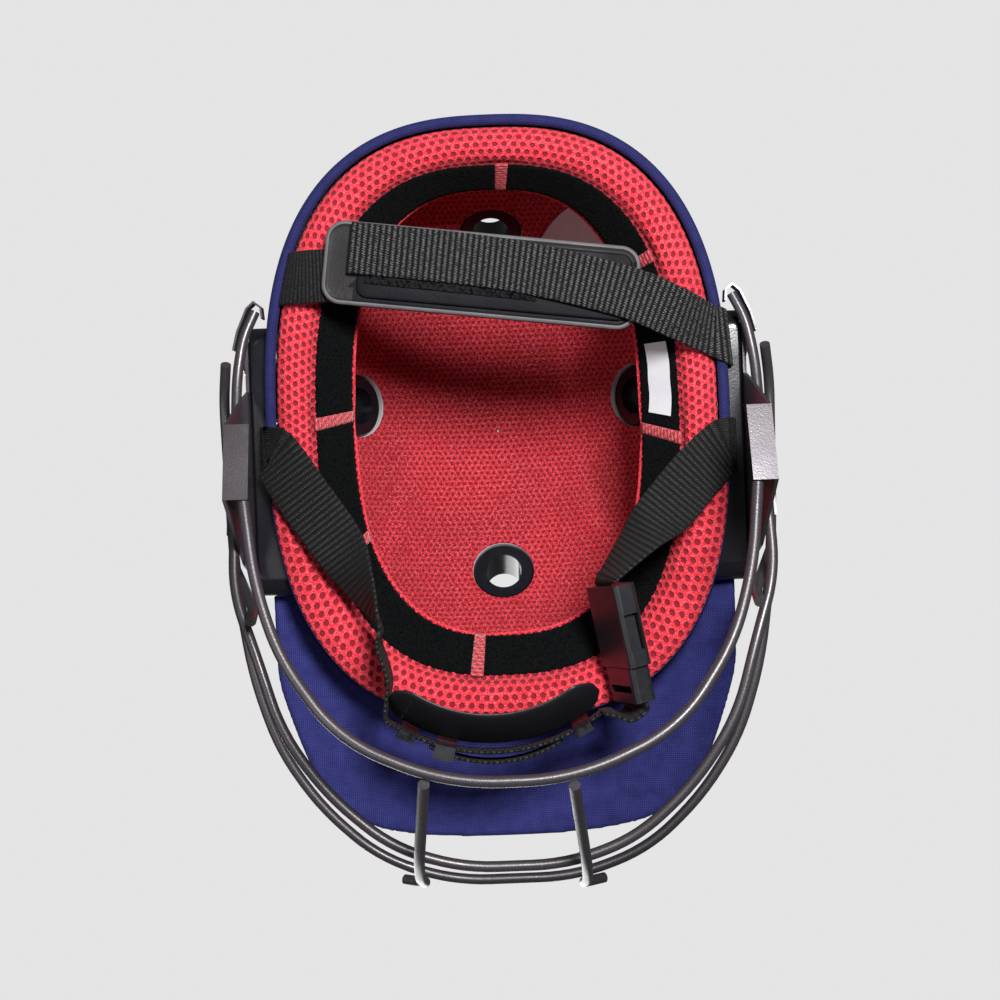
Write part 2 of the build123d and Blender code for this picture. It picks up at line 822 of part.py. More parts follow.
def folded_outline(points, thickness):
    """The closed plan outline of a folded sheet along a centre line."""
    places = [Vector(*point) for point in points]
    one_side, other_side = [], []
    for place, here in enumerate(places):
        arriving = (here - places[max(place - 1, 0)]) if place else (places[1] - here)
        leaving = (places[place + 1] - here) if place + 1 < len(places) else arriving
        first, second = arriving.normalized(), leaving.normalized()
        facing = (first + second).normalized()
        reach = thickness / 2 / facing.dot(first)
        side = Vector(-facing.Y, facing.X) * reach
        one_side.append(here + side)
        other_side.append(here - side)
    return [*one_side, *reversed(other_side)]


with BuildPart() as rear_clip:
    with BuildSketch(Plane.XY.offset(-clip_width / 2)):
        with BuildLine():
            Polyline(*folded_outline(clip_line, clip_thickness), close=True)
        make_face()
    extrude(amount=clip_width)
keep_pair(rear_clip, "rear_clip")

# Spacer blocks, moulded to the shell, and the screws, washers and tee nuts

with BuildPart() as spacer_block:
    with BuildSketch(plate_plane.offset(-block_gap)):
        with Locations(((block_front + block_rear) / 2, (block_low + block_high) / 2)):
            RectangleRounded(block_rear - block_front, block_high - block_low, block_corner)
    extrude(amount=-2 * cut_overrun)
    fillet(spacer_block.faces().sort_by(Axis.X)[-1].edges(), plate_thickness)
    dome(-seat_gap, dome_foot, mode=Mode.SUBTRACT)
    screw_bores(barrel_radius + seat_gap, nut_face)
keep_pair(spacer_block, "spacer_block")

washer_seat = plate_face + plate_thickness + block_gap
head_seat = washer_seat + washer_thickness + seat_gap
screw_places = [(sign, y) for sign in (1, -1) for y in (rear_screw_y, front_screw_y)]

with BuildPart() as grille_washers:
    for sign, y in screw_places:
        with BuildSketch(Plane((sign * washer_seat, y, screw_level), z_dir=(sign, 0, 0))):
            Circle(washer_radius)
            Circle(screw_radius + seat_gap, mode=Mode.SUBTRACT)
    extrude(amount=washer_thickness)
keep(grille_washers, "grille_washers")

with BuildPart() as grille_screws:
    for sign, y in screw_places:
        with BuildSketch(Plane((sign * head_seat, y, screw_level), z_dir=(sign, 0, 0))):
            Circle(screw_head_radius)
    extrude(amount=screw_head_height)
    rims = grille_screws.edges().group_by(Axis.X)
    fillet(rims[0] + rims[-1], screw_head_height / 3)
    head_top = head_seat + screw_head_height
    for sign, y in screw_places:
        with BuildSketch(Plane((sign * head_top, y, screw_level), z_dir=(-sign, 0, 0))):
            RegularPolygon(screw_socket_radius, 6)
    extrude(amount=screw_head_height * 0.6, mode=Mode.SUBTRACT)
    for sign, y in screw_places:
        with BuildSketch(Plane((sign * head_seat, y, screw_level), z_dir=(-sign, 0, 0))):
            Circle(screw_radius)
    extrude(amount=head_seat - nut_face)
keep(grille_screws, "grille_screws")

with BuildPart() as tee_nuts:
    for sign, y in screw_places:
        with BuildSketch(Plane((sign * (nut_face - nut_thickness), y, screw_level), z_dir=(sign, 0, 0))):
            Circle(nut_radius)
    extrude(amount=nut_thickness)
    for sign, y in screw_places:
        with BuildSketch(Plane((sign * nut_face, y, screw_level), z_dir=(sign, 0, 0))):
            Circle(barrel_radius)
    extrude(amount=nut_barrel)
    for sign, y in screw_places:
        with BuildSketch(Plane((sign * (nut_face - nut_thickness), y, screw_level), z_dir=(sign, 0, 0))):
            Circle(screw_radius + seat_gap)
    extrude(amount=nut_thickness + nut_barrel, mode=Mode.SUBTRACT)
keep(tee_nuts, "tee_nuts")

# Neck strap: a soft pad with a panel, webbing over it, and a short elastic


def level_edges(places, turns, levels, width):
    """A level strap's edge points at places in plan, each with its cross line's turn and its level."""
    edges = []
    for (x, y), turn, level in zip(places, turns, levels):
        across = Vector(-sin(radians(turn)), cos(radians(turn)), 0) * (width / 2)
        middle = Vector(x * rim_half_width, y * rim_half_width, level)
        edges.append((middle - across, middle + across))
    return edges


neck_plane = Plane(
    (neck_pad_centre_x, neck_pad_centre_y, neck_pad_level),
    x_dir=(cos(radians(neck_pad_turn)), sin(radians(neck_pad_turn)), 0),
    z_dir=(0, 0, -1),
)

with BuildPart() as neck_pad:
    with BuildSketch(neck_plane):
        RectangleRounded(neck_pad_length, neck_pad_width, neck_pad_corner)
    extrude(amount=neck_pad_thickness)
    fillet(neck_pad.edges().group_by(Axis.Z)[0] + neck_pad.edges().group_by(Axis.Z)[-1], neck_pad_round)
keep(neck_pad, "neck_pad")

with BuildPart() as neck_panel:
    with BuildSketch(neck_plane.offset(neck_pad_thickness + seat_gap)):
        RectangleRounded(
            neck_pad_length - 2 * neck_panel_margin,
            neck_pad_width - 2 * neck_panel_margin,
            neck_pad_corner - neck_panel_margin,
        )
    extrude(amount=neck_panel_thickness)
keep(neck_panel, "neck_panel")

neck_panel_face = neck_pad_level - neck_pad_thickness - neck_panel_thickness - seat_gap
hook_level = neck_panel_face - webbing_seat_gap - hook_tape_thickness / 2
neck_web_level = hook_level - hook_tape_thickness / 2 - seat_gap - webbing_thickness / 2
under_rim = -piping_radius - webbing_seat_gap - webbing_thickness / 2
elastic_level = neck_pad_level + webbing_seat_gap + webbing_thickness / 2

with BuildPart() as neck_hook_tape:
    hook_levels = [hook_level for place in neck_tape_shares]
    hook_edges = level_edges(neck_tape_shares, neck_tape_turns, hook_levels, neck_webbing_width)
    strip(hook_edges, hook_tape_thickness, ruled=True)
keep(neck_hook_tape, "neck_hook_tape")

with BuildPart() as neck_webbing:
    levels = [neck_web_level, neck_web_level, neck_web_level, neck_web_level * 0.8, under_rim * 1.3]
    web_edges = level_edges(neck_web_shares, neck_web_turns, levels, neck_webbing_width)
    slanted_width = neck_webbing_width / cos(radians(max(neck_web_turns) - neck_rise_turn))
    rise_places = [(x, y) for x, y, level in neck_rise_shares]
    rise_turns = [neck_rise_turn for place in rise_places]
    rise_levels = [under_rim * level for x, y, level in neck_rise_shares]
    web_edges += level_edges(rise_places, rise_turns, rise_levels, slanted_width)
    strip(web_edges, webbing_thickness, ruled=True)
keep(neck_webbing, "neck_webbing")

with BuildPart() as neck_elastic:
    elastic_y = neck_pad_centre_y / rim_half_width * 1.03
    elastic_places = [(x, elastic_y) for x in neck_elastic_shares]
    elastic_levels = [elastic_level, elastic_level, under_rim * 1.5, under_rim]
    elastic_turns = [0 for place in elastic_places]
    elastic_edges = level_edges(elastic_places, elastic_turns, elastic_levels, neck_elastic_width)
    strip(elastic_edges, webbing_thickness, ruled=True)
keep(neck_elastic, "neck_elastic")

# Chin cup: a cone segment, wider at its upper edge, with the strap round it

cup_axis = Axis((cup_centre_x, cup_centre_y, 0), (0, 0, 1))


def round_the_cup(radial, low_angle, high_angle):
    """Turn a radial profile, given as (radius, level) corners, between two angles from the front."""
    facing = (sin(radians(low_angle)), -cos(radians(low_angle)), 0)
    sideways = Vector(*facing).cross(Vector(0, 0, 1))
    plane = Plane((cup_centre_x, cup_centre_y, 0), x_dir=facing, z_dir=sideways)
    with BuildSketch(plane, mode=Mode.PRIVATE) as profile:
        with BuildLine():
            Polyline(*radial, close=True)
        make_face()
    return revolve(profile.sketch, axis=cup_axis, revolution_arc=high_angle - low_angle, mode=Mode.PRIVATE)


def band(inner, outer, low, high):
    """A rectangular radial profile."""
    return [(inner, low), (outer, low), (outer, high), (inner, high)]


half_skin = cup_thickness / 2
cup_profile = [
    (cup_low_radius - half_skin, cup_low),
    (cup_low_radius + half_skin, cup_low),
    (cup_high_radius + half_skin, cup_high),
    (cup_high_radius - half_skin, cup_high),
]

with BuildPart() as chin_cup:
    add(round_the_cup(cup_profile, -1.5 * cup_half_angle, 1.5 * cup_half_angle))
    cup_middle = (cup_centre_x, cup_centre_y, (cup_low + cup_high) / 2)
    with BuildSketch(Plane(cup_middle, x_dir=(1, 0, 0), z_dir=(0, -1, 0))):
        cup_reach = cup_high_radius * sin(radians(cup_half_angle))
        RectangleRounded(2 * cup_reach, cup_high - cup_low, cup_corner)
    extrude(amount=2 * cup_high_radius, mode=Mode.INTERSECT)
keep(chin_cup, "chin_cup")

strap_inner = cup_high_radius + half_skin + strap_round_gap
strap_outer = strap_inner + webbing_thickness
strap_low = strap_middle_level - webbing_width / 2
tail_inner = strap_outer + strap_layer_gap
tail_outer = tail_inner + webbing_thickness
strap_high = strap_low + webbing_width

with BuildPart() as chin_strap_front:
    front_band = band(strap_inner, strap_outer, strap_low, strap_high)
    add(round_the_cup(front_band, -strap_right_angle, strap_end_angle))
keep(chin_strap_front, "chin_strap_front")

with BuildPart() as chin_strap_tail:
    tail_band = band(tail_inner, tail_outer, strap_low, strap_high)
    add(round_the_cup(tail_band, -strap_tail_angle, strap_tail_angle))
keep(chin_strap_tail, "chin_strap_tail")


def sleeve(wall, gap, outer_reach, width, angle):
    """A rectangular sleeve round the strap at an angle from the front."""
    half = degrees(width / 2 / strap_outer)
    inner, outer = strap_inner - gap, outer_reach + gap
    low, high = strap_low - gap, strap_high + gap
    casing = band(inner - wall, outer + wall, low - wall, high + wall)
    body = round_the_cup(casing, angle - half, angle + half)
    hole = round_the_cup(band(inner, outer, low, high), angle - 2 * half, angle + 2 * half)
    return body - hole


with BuildPart() as strap_keeper:
    add(sleeve(keeper_wall, keeper_gap, tail_outer, keeper_width, keeper_angle))
keep(strap_keeper, "strap_keeper")

with BuildPart() as chin_cup_loops:
    add(sleeve(loop_wall, keeper_gap, strap_outer, loop_width, loop_angle))
    add(sleeve(loop_wall, keeper_gap, strap_outer, loop_width, -loop_angle))
keep(chin_cup_loops, "chin_cup_loops")

# Side-release buckle, standing on edge

buckle_ahead = Vector(-sin(radians(buckle_turn)), -cos(radians(buckle_turn)), 0)
buckle_flat = Vector(-cos(radians(buckle_turn)), sin(radians(buckle_turn)), 0)
buckle_wide = buckle_flat * sin(radians(buckle_tilt)) - Vector(0, 0, 1) * cos(radians(buckle_tilt))
buckle_centre = Vector(buckle_x, buckle_y, buckle_level)


def buckle_plane(along):
    """A plane across the buckle: X over its width, Y through its thickness, Z towards the plug."""
    return Plane(buckle_centre + buckle_ahead * along, x_dir=buckle_wide, z_dir=buckle_ahead)


socket_end = socket_length / 2
cavity_half_width = socket_width / 2 - socket_side_wall
cavity_thickness = socket_thickness - 2 * socket_wall
plug_thickness = cavity_thickness - 2 * plug_gap
window_half = socket_side_wall + plug_gap

with BuildPart() as buckle_socket:
    with BuildSketch(buckle_plane(-socket_end)):
        RectangleRounded(socket_width, socket_thickness, socket_round)
    extrude(amount=socket_length)
    with BuildSketch(buckle_plane(-socket_end + socket_floor)):
        Rectangle(2 * cavity_half_width, cavity_thickness)
    extrude(amount=socket_length, mode=Mode.SUBTRACT)
    with BuildSketch(buckle_plane(-socket_end + window_low)):
        with Locations((socket_width / 2, 0), (-socket_width / 2, 0)):
            Rectangle(2 * window_half, cavity_thickness)
    extrude(amount=window_high - window_low, mode=Mode.SUBTRACT)
keep(buckle_socket, "buckle_socket")

plug_start = socket_end + plug_gap

with BuildPart() as buckle_plug:
    with BuildSketch(buckle_plane(plug_start)):
        RectangleRounded(plug_base_width, socket_thickness - 2 * plug_gap, socket_round)
    extrude(amount=plug_base_length)
    with BuildSketch(buckle_plane(plug_start + plug_base_length / 2)):
        Rectangle(plug_base_width - 2 * socket_side_wall, socket_thickness * 2)
    extrude(amount=strap_slot, mode=Mode.SUBTRACT)
    with BuildSketch(buckle_plane(plug_start - prong_length)):
        Rectangle(plug_tongue_width, plug_thickness)
    extrude(amount=prong_length + socket_wall)
keep(buckle_plug, "buckle_plug")

for side, sign in (("lower", 1), ("upper", -1)):
    with BuildPart() as prong:
        with BuildSketch(buckle_plane(plug_start - prong_root_gap)):
            with Locations((sign * (cavity_half_width - plug_gap - prong_width / 2), 0)):
                Rectangle(prong_width, plug_thickness)
        extrude(amount=-prong_length + prong_root_gap)
        fillet(prong.edges().filter_by(Axis(buckle_centre, buckle_plane(0).y_dir)), prong_width / 4)
    keep(prong, f"buckle_prong_{side}")

# Chin strap: the left side to the cup, the right side to the socket, and the short end to the plug


def cup_edge(angle, radius):
    """The strap's two edge points at an angle round the cup."""
    x = cup_centre_x + radius * sin(radians(angle))
    y = cup_centre_y - radius * cos(radians(angle))
    return ((x, y, strap_low), (x, y, strap_high))


def slices(rows):
    """A strap's crosswise slices: middle places in shares, and cross directions."""
    edges = []
    for x, y, z, *cross in rows:
        middle = Vector(x, y, z) * rim_half_width
        across = Vector(*cross).normalized() * (webbing_width / 2)
        edges.append((middle - across, middle + across))
    return edges


def over_rim(sign, y):
    """The slices where a strap comes down outside the shell and turns in under the piping."""
    outside = sign * (rim_half_width + webbing_thickness)
    corner = sign * (rim_half_width - piping_radius / 2)
    inside = sign * (rim_half_width - 2 * piping_radius)
    half = webbing_width / 2
    places = (
        (outside, y, strap_rise),
        (outside, y, -webbing_thickness / 2),
        (corner, y, under_rim),
        (inside, y - piping_radius / 2, under_rim * 1.4),
    )
    return [((x, along + half, z), (x, along - half, z)) for x, along, z in places]


strap_middle = (strap_inner + strap_outer) / 2
end_gap = degrees(webbing_seat_gap / strap_middle)
straight_end = 2 * webbing_thickness
straight_angle = degrees(straight_end / strap_middle)

with BuildPart() as chin_strap_left:
    strip([
        *over_rim(1, chin_left_y),
        *slices(chin_left_shares),
        cup_edge(strap_end_angle + end_gap + straight_angle, strap_middle),
        cup_edge(strap_end_angle + end_gap, strap_middle),
    ], webbing_thickness, ruled=True)
keep(chin_strap_left, "chin_strap_left")

half_webbing = buckle_wide * (webbing_width / 2)


def buckle_edge(along):
    """The strap's two edge points at a distance along the buckle."""
    place = buckle_centre + buckle_ahead * along
    return (place - half_webbing, place + half_webbing)


socket_back = -socket_end - webbing_seat_gap

with BuildPart() as chin_strap_right:
    strip([
        *over_rim(-1, chin_right_y),
        *slices(chin_right_shares),
        buckle_edge(socket_back - straight_end),
        buckle_edge(socket_back),
    ], webbing_thickness, ruled=True)
keep(chin_strap_right, "chin_strap_right")

plug_back = plug_start + plug_base_length + webbing_seat_gap

with BuildPart() as chin_strap_end:
    strip([
        cup_edge(-strap_right_angle - end_gap, strap_middle),
        cup_edge(-strap_right_angle - end_gap - straight_angle, strap_middle),
        *slices(chin_end_shares),
        *[(high, low) for low, high in (buckle_edge(plug_back + straight_end), buckle_edge(plug_back))],
    ], webbing_thickness, ruled=True)
keep(chin_strap_end, "chin_strap_end")

# Blank sewn labels: a ribbon over the tape, and a large one on the crown's lining

with BuildPart() as ribbon_label:
    ribbon_seat = tape_thickness + tape_gap
    slope_ring(ribbon_low, ribbon_high, ribbon_seat, ribbon_seat + label_thickness)
    with BuildSketch(Plane.XY.offset(pad_bottom)):
        with Locations((-rim_half_width / 2, ribbon_centre_y)):
            Rectangle(rim_half_width, ribbon_length)
    extrude(amount=pad_top - pad_bottom, mode=Mode.INTERSECT)
keep(ribbon_label, "ribbon_label")

label_seat = inner_inset + lining_thickness + tape_gap

with BuildPart() as crown_label:
    dome(label_seat, label_low)
    dome(label_seat + label_thickness, dome_foot, mode=Mode.SUBTRACT)
    with BuildSketch(Plane.XZ.offset(-centre_y)):
        with Locations((-label_centre_x, (label_low + label_high) / 2)):
            RectangleRounded(label_length, label_high - label_low, label_corner)
    extrude(amount=-rim_back, mode=Mode.INTERSECT)
keep(crown_label, "crown_label")

# Stand the helmet on its grille, with the middle of its footprint at the origin

leaned = {name: piece.rotate(Axis.X, -rest_lean) for name, piece in pieces.items()}
boxes = [piece.bounding_box() for piece in leaned.values()]
middle_x = (min(box.min.X for box in boxes) + max(box.max.X for box in boxes)) / 2
middle_y = (min(box.min.Y for box in boxes) + max(box.max.Y for box in boxes)) / 2
lowest = min(box.min.Z for box in boxes)

for name, piece in leaned.items():
    piece.label = name
    export_step(piece.translate((-middle_x, -middle_y, -lowest)), f"parts/{name}.step")
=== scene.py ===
# %% [markdown]
# # Dressing a cricket helmet
# The helmet stands on its wire guard and is seen from underneath, so most of the picture is its lining.
# The hard pieces already exist as measured solids. This lesson gives them finishes, and makes the soft
# pieces anew: cloth over the shell, the padded band, the mesh lining, the straps and the labels.

import json
import math

import bmesh
import bpy
from mathutils import Matrix, Vector


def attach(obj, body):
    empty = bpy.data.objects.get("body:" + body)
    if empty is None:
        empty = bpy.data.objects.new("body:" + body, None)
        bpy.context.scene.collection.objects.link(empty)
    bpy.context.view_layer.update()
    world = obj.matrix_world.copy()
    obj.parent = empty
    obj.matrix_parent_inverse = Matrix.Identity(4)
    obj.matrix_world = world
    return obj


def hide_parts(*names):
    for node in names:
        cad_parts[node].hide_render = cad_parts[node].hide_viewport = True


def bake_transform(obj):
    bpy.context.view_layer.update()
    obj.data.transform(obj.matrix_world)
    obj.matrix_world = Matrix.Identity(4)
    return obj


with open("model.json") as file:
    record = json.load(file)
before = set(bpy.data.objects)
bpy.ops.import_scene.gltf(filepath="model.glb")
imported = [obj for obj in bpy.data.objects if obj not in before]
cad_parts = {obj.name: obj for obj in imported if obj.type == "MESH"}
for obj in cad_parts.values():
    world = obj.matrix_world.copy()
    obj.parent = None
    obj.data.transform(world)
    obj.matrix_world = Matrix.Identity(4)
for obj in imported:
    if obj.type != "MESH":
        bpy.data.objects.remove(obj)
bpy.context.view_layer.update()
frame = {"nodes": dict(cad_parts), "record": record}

# %% [markdown]
# The real helmet leans back when it stands on its guard. All sizes of the soft pieces are easier to give
# on a level helmet, with its rim in one flat plane, so one helper turns level millimetres into the place
# in the leaned helmet. The seat of the head, which the record gives, is the middle of the rim plane.

# %% From level millimetres to the standing helmet
seat = next(mount for mount in frame["record"]["mounts"] if mount["name"] == "head_seat")
rim_middle = Vector(seat["pos_m"])
to_left = Vector((1, 0, 0))
to_crown = Vector(seat["axis"]).normalized()
to_back = to_crown.cross(to_left)


def stand(point):
    """The place in the standing helmet of a point given in level millimetres."""
    return rim_middle + (to_left * point[0] + to_back * point[1] + to_crown * point[2]) / 1000


def show(name, data):
    """A new object in the scene."""
    thing = bpy.data.objects.new(name, data)
    bpy.context.scene.collection.objects.link(thing)
    return thing


print("rim plane leans", round(math.degrees(to_crown.angle(Vector((0, 0, 1)))), 2), "degrees")

# %% [markdown]
# The photograph looks straight into the helmet, square to its rim plane. The camera is placed by that
# plane, so the view keeps its meaning however the helmet stands.

# %% Camera under the rim
camera_distance = 650
picture_turn = math.radians(2.23)
camera_data = bpy.data.cameras.new("camera_under_rim")
camera_data.lens, camera_data.sensor_width = 51.3, 36
camera_data.shift_x, camera_data.clip_start = -0.0009, 0.02
camera = show("camera_under_rim", camera_data)
across_picture = -to_left * math.cos(picture_turn) - to_back * math.sin(picture_turn)
up_picture = to_back * math.cos(picture_turn) - to_left * math.sin(picture_turn)
turned = Matrix((across_picture, up_picture, -to_crown)).transposed().to_4x4()
camera.matrix_world = Matrix.Translation(stand((0, 0, -camera_distance))) @ turned
bpy.context.scene.camera = camera
print("camera stands at", [round(value, 3) for value in camera.location])

# %% [markdown]
# A material here is always the same recipe: a Principled shader, a pattern that gives height and
# masks, and two or more colours mixed by them. A value inside a shader is wrapped in a small class, so
# that a recipe reckons with it as with a number. Each sum adds the node that works it out.

# %% Values inside a shader


class Wire:
    """A number or a place inside a shader."""

    def __init__(self, socket):
        self.socket = socket

    def new_node(self, kind):
        """A new node in the same shader."""
        return self.socket.id_data.nodes.new("ShaderNode" + kind)

    def step(self, operation, *others):
        """One step of arithmetic."""
        node = self.new_node("VectorMath" if self.socket.type == "VECTOR" else "Math")
        node.operation = operation
        for value, socket in zip((self, *others), node.inputs):
            join(value, socket)
        return Wire(node.outputs["Value"] if operation == "LENGTH" else node.outputs[0])

    def __add__(self, other):
        return self.step("ADD", other)

    def __sub__(self, other):
        return self.step("SUBTRACT", other)

    def __mul__(self, other):
        return self.step("MULTIPLY", other)

    def __truediv__(self, other):
        return self.step("DIVIDE", other)

    def ridges(self):
        """Rounded ridges, one from each whole number to the next."""
        return (self * math.pi).step("SINE").step("ABSOLUTE")


def wires(node):
    """The outputs of a node by their names."""
    return {socket.name: Wire(socket) for socket in node.outputs}


def join(value, socket):
    """Feed a socket from inside the shader, or give it a plain value."""
    if isinstance(value, Wire):
        socket.id_data.links.new(value.socket, socket)
    else:
        socket.default_value = value


def split(place):
    """The X, Y and Z of a place."""
    node = place.new_node("SeparateXYZ")
    join(place, node.inputs[0])
    return wires(node)


def ramp(value, low, high, result_low=0.0, result_high=1.0):
    """Spread a value smoothly between two limits."""
    node = value.new_node("MapRange")
    node.interpolation_type = "SMOOTHSTEP"
    for given, socket in zip((value, low, high, result_low, result_high), node.inputs):
        join(given, socket)
    return Wire(node.outputs[0])


def mix(mask, first, second):
    """Mix two colours by a mask."""
    node = mask.new_node("Mix")
    node.data_type = "RGBA"
    join(mask, node.inputs["Factor"])
    for colour, label in ((first, "A"), (second, "B")):
        join(colour if isinstance(colour, Wire) else (*colour, 1), node.inputs[label])
    return Wire(node.outputs["Result"])


def noise(place, scale, detail=2.0):
    """Soft random variation."""
    node = place.new_node("TexNoise")
    join(place, node.inputs["Vector"])
    join(scale, node.inputs["Scale"])
    join(detail, node.inputs["Detail"])
    return Wire(node.outputs["Fac"])


# %% [markdown]
# Several finishes share an effect: woven threads, a knitted mesh with holes, ribbed webbing, leather
# grain, and wear along edges. Each effect is built once as a node group with named sockets, and each
# material places it with its own sizes, in metres.

# %% A helper that starts a node group


def effect_group(name, sizes, outputs):
    """An empty shader group for an effect, the values it is given and the sockets of its results."""
    tree = bpy.data.node_groups.new(name, "ShaderNodeTree")
    tree.interface.new_socket("Place", in_out="INPUT", socket_type="NodeSocketVector")
    for label, value in sizes.items():
        socket = tree.interface.new_socket(label, in_out="INPUT", socket_type="NodeSocketFloat")
        socket.default_value = value
    for label in outputs:
        tree.interface.new_socket(label, in_out="OUTPUT", socket_type="NodeSocketFloat")
    start, end = tree.nodes.new("NodeGroupInput"), tree.nodes.new("NodeGroupOutput")
    return tree, wires(start), end.inputs


def effect(group, place, **sizes):
    """Place an effect in a material, with its own sizes."""
    node = place.new_node("Group")
    node.node_tree = group
    join(place, node.inputs["Place"])
    for label, value in sizes.items():
        join(value, node.inputs[label])
    return wires(node)


print("helpers for effects ready")

# %% [markdown]
# Spacer mesh is knitted with round holes in staggered rows. Staggered rows are two square-cornered
# grids laid over each other, half a step apart, so the distance to the nearest hole is the smaller of
# the two distances. That keeps the holes round and exactly spaced, which a random texture can't do.

# %% Knitted mesh with holes
mesh_knit, given, result = effect_group("mesh_knit", {"Pitch": 0.0046, "Hole": 0.27}, ["Hole", "Height"])
row_height = math.sqrt(3)
scaled = given["Place"] / given["Pitch"]
squared = scaled * (1, 1 / row_height, 0)
distances = []
for shift in ((0, 0, 0), (0.5, 0.5, 0)):
    cell = (squared + shift).step("FRACTION") - (0.5, 0.5, 0)
    distances.append((cell * (1, row_height, 0)).step("LENGTH"))
nearest = distances[0].step("MINIMUM", distances[1])
lip_inside, lip_outside = given["Hole"] * 0.7, given["Hole"] * 1.35
open_share = ramp(nearest, lip_inside, lip_outside, 1.0, 0.0)
strands = noise(scaled * (3.0, 9.0, 0), 1.0, 1.0)
join(open_share, result["Hole"])
join(strands * 0.35 - open_share + 1.0, result["Height"])
print("mesh_knit has", len(mesh_knit.nodes), "nodes")

# %% [markdown]
# Webbing has ribs across its length, and each rib is a row of small twisted threads. The rows are
# offset from rib to rib. Patches on the tops of the threads are marked for a painted glint.

# %% Ribbed webbing
rib_sizes = {"Rib": 0.0026, "Thread": 0.0009}
webbing_ribs, given, result = effect_group("webbing_ribs", rib_sizes, ["Fleck", "Height"])
parts = split(given["Place"])
along_ribs = parts["X"] / given["Rib"]
half_rows = (along_ribs * 2.0).step("FLOOR")
slant = half_rows * 0.5 + along_ribs * 0.6
bead = (parts["Y"] / given["Thread"] + slant).ridges()
height = along_ribs.ridges().step("POWER", 0.6) * (bead * 0.45 + 0.55)
uneven = noise(given["Place"], 900, 1.0)
# Painted glint: pale patches on the highest threads, standing for where the yarn catches the light.
join(ramp(height, 0.62, 0.98) * ramp(uneven, 0.3, 0.65), result["Fleck"])
join(height, result["Height"])
print("webbing_ribs has", len(webbing_ribs.nodes), "nodes")

# %% [markdown]
# The shell's cloth is a plain weave: each thread goes over one and under one. A checker decides which
# of the two threads is on top, and each thread is a rounded ridge.

# %% Plain weave
plain_weave, given, result = effect_group("plain_weave", {"Thread": 0.0007}, ["Shade", "Height"])
parts = split(given["Place"])
warp, weft = (parts[axis] / given["Thread"] for axis in "XY")
warp_on_top = (warp.step("FLOOR") + weft.step("FLOOR")).step("MODULO", 2.0).step("ABSOLUTE")
top_thread = (warp.ridges() - weft.ridges()) * warp_on_top + weft.ridges()
slub = noise(given["Place"], 160, 3.0)
join(top_thread * ramp(slub, 0.2, 0.8, 0.6, 1.0), result["Height"])
join(slub, result["Shade"])
print("plain_weave has", len(plain_weave.nodes), "nodes")

# %% [markdown]
# Coated cloth and moulded plastic both have a pebbled grain, only at different sizes. Cells with soft
# edges make the pebbles, and a finer noise breaks them up.

# %% Pebbled grain
pebbles, given, result = effect_group("pebbles", {"Size": 0.001, "Break": 0.4}, ["Shade", "Height"])
scale = given["Size"].step("POWER", -1.0)
cells = scale.new_node("TexVoronoi")
cells.feature = "SMOOTH_F1"
join(given["Place"], cells.inputs["Vector"])
join(scale, cells.inputs["Scale"])
broken = noise(given["Place"], scale * 0.8) * given["Break"]
join(broken - wires(cells)["Distance"] + 1.0, result["Height"])
join(noise(given["Place"], 45, 4.0), result["Shade"])
print("pebbles has", len(pebbles.nodes), "nodes")

# %% [markdown]
# Handling polishes and chips the edges first. Pointiness tells how sharply a surface bends, and noise
# keeps the worn line from being even.

# %% Wear along edges
edge_wear, given, result = effect_group("edge_wear", {"Start": 0.52, "Amount": 0.5}, ["Wear"])
bend = wires(given["Place"].new_node("NewGeometry"))["Pointiness"]
sharp = ramp(bend, given["Start"], given["Start"] + 0.07)
patchy = ramp(noise(given["Place"], 260, 5.0), 0.42, 0.6)
join(sharp * patchy * given["Amount"], result["Wear"])
print("edge_wear has", len(edge_wear.nodes), "nodes")

# %% [markdown]
# With the effects ready, a material is short. One helper makes the Principled shader with its plain
# values, and another feeds it the colour, roughness and height that a recipe works out.

# %% Helpers that start and end a material


def finish_of(name, **plain):
    """A new material: its Principled inputs, its UV place and its object place."""
    material = bpy.data.materials.new(name)
    material.use_nodes = True
    inputs = material.node_tree.nodes["Principled BSDF"].inputs
    for label, value in plain.items():
        inputs[label.replace("_", " ")].default_value = value
    places = wires(material.node_tree.nodes.new("ShaderNodeTexCoord"))
    return material, inputs, places["UV"], places["Object"]


def feed(inputs, colour, roughness, height, depth, strength=1.0):
    """Feed a colour, a roughness, and a height whose full step is depth metres."""
    join(colour, inputs["Base Color"])
    join(roughness, inputs["Roughness"])
    bump = height.new_node("Bump")
    for value, label in ((strength, "Strength"), (depth, "Distance"), (height, "Height")):
        join(value, bump.inputs[label])
    join(wires(bump)["Normal"], inputs["Normal"])


# %% [markdown]
# The shell wears a navy woven cloth, a little lighter where the light rakes over it, which is what
# sheen does on short fibres.

# %% Navy cloth


def navy_cloth(name, thread, light):
    """Navy plain weave with threads of a given width, its colours scaled by a factor; the dark piping copy is
    painted shade.
    """
    material, inputs, uv, _ = finish_of(
        name, Sheen_Weight=0.1, Sheen_Roughness=0.4, Sheen_Tint=(0.25, 0.27, 0.6, 1), Specular_IOR_Level=0.2
    )
    weave = effect(plain_weave, uv, Thread=thread)
    low, high = Vector((0.024, 0.026, 0.145)) * light, Vector((0.03, 0.032, 0.172)) * light
    # The low gaps between threads are painted near black: painted shade between the threads.
    painted_shade_between_threads = ramp(weave["Height"], 0.1, 0.8, 0.8, 0.0)
    colour = mix(painted_shade_between_threads, mix(weave["Shade"], low, high), (0.004, 0.004, 0.022))
    feed(inputs, colour, ramp(weave["Shade"], 0.2, 0.8, 0.9, 0.74), weave["Height"], 0.00022, 0.75)
    return material


# The piping's cloth is the same navy scaled darker: painted shade on the rim's cord.
shell_cloth = navy_cloth("navy_shell_cloth", 0.0009, 1.05)
piping_cloth_painted_darker = navy_cloth("navy_piping_cloth_painted_shade", 0.0011, 0.65)
print("navy cloth ready")
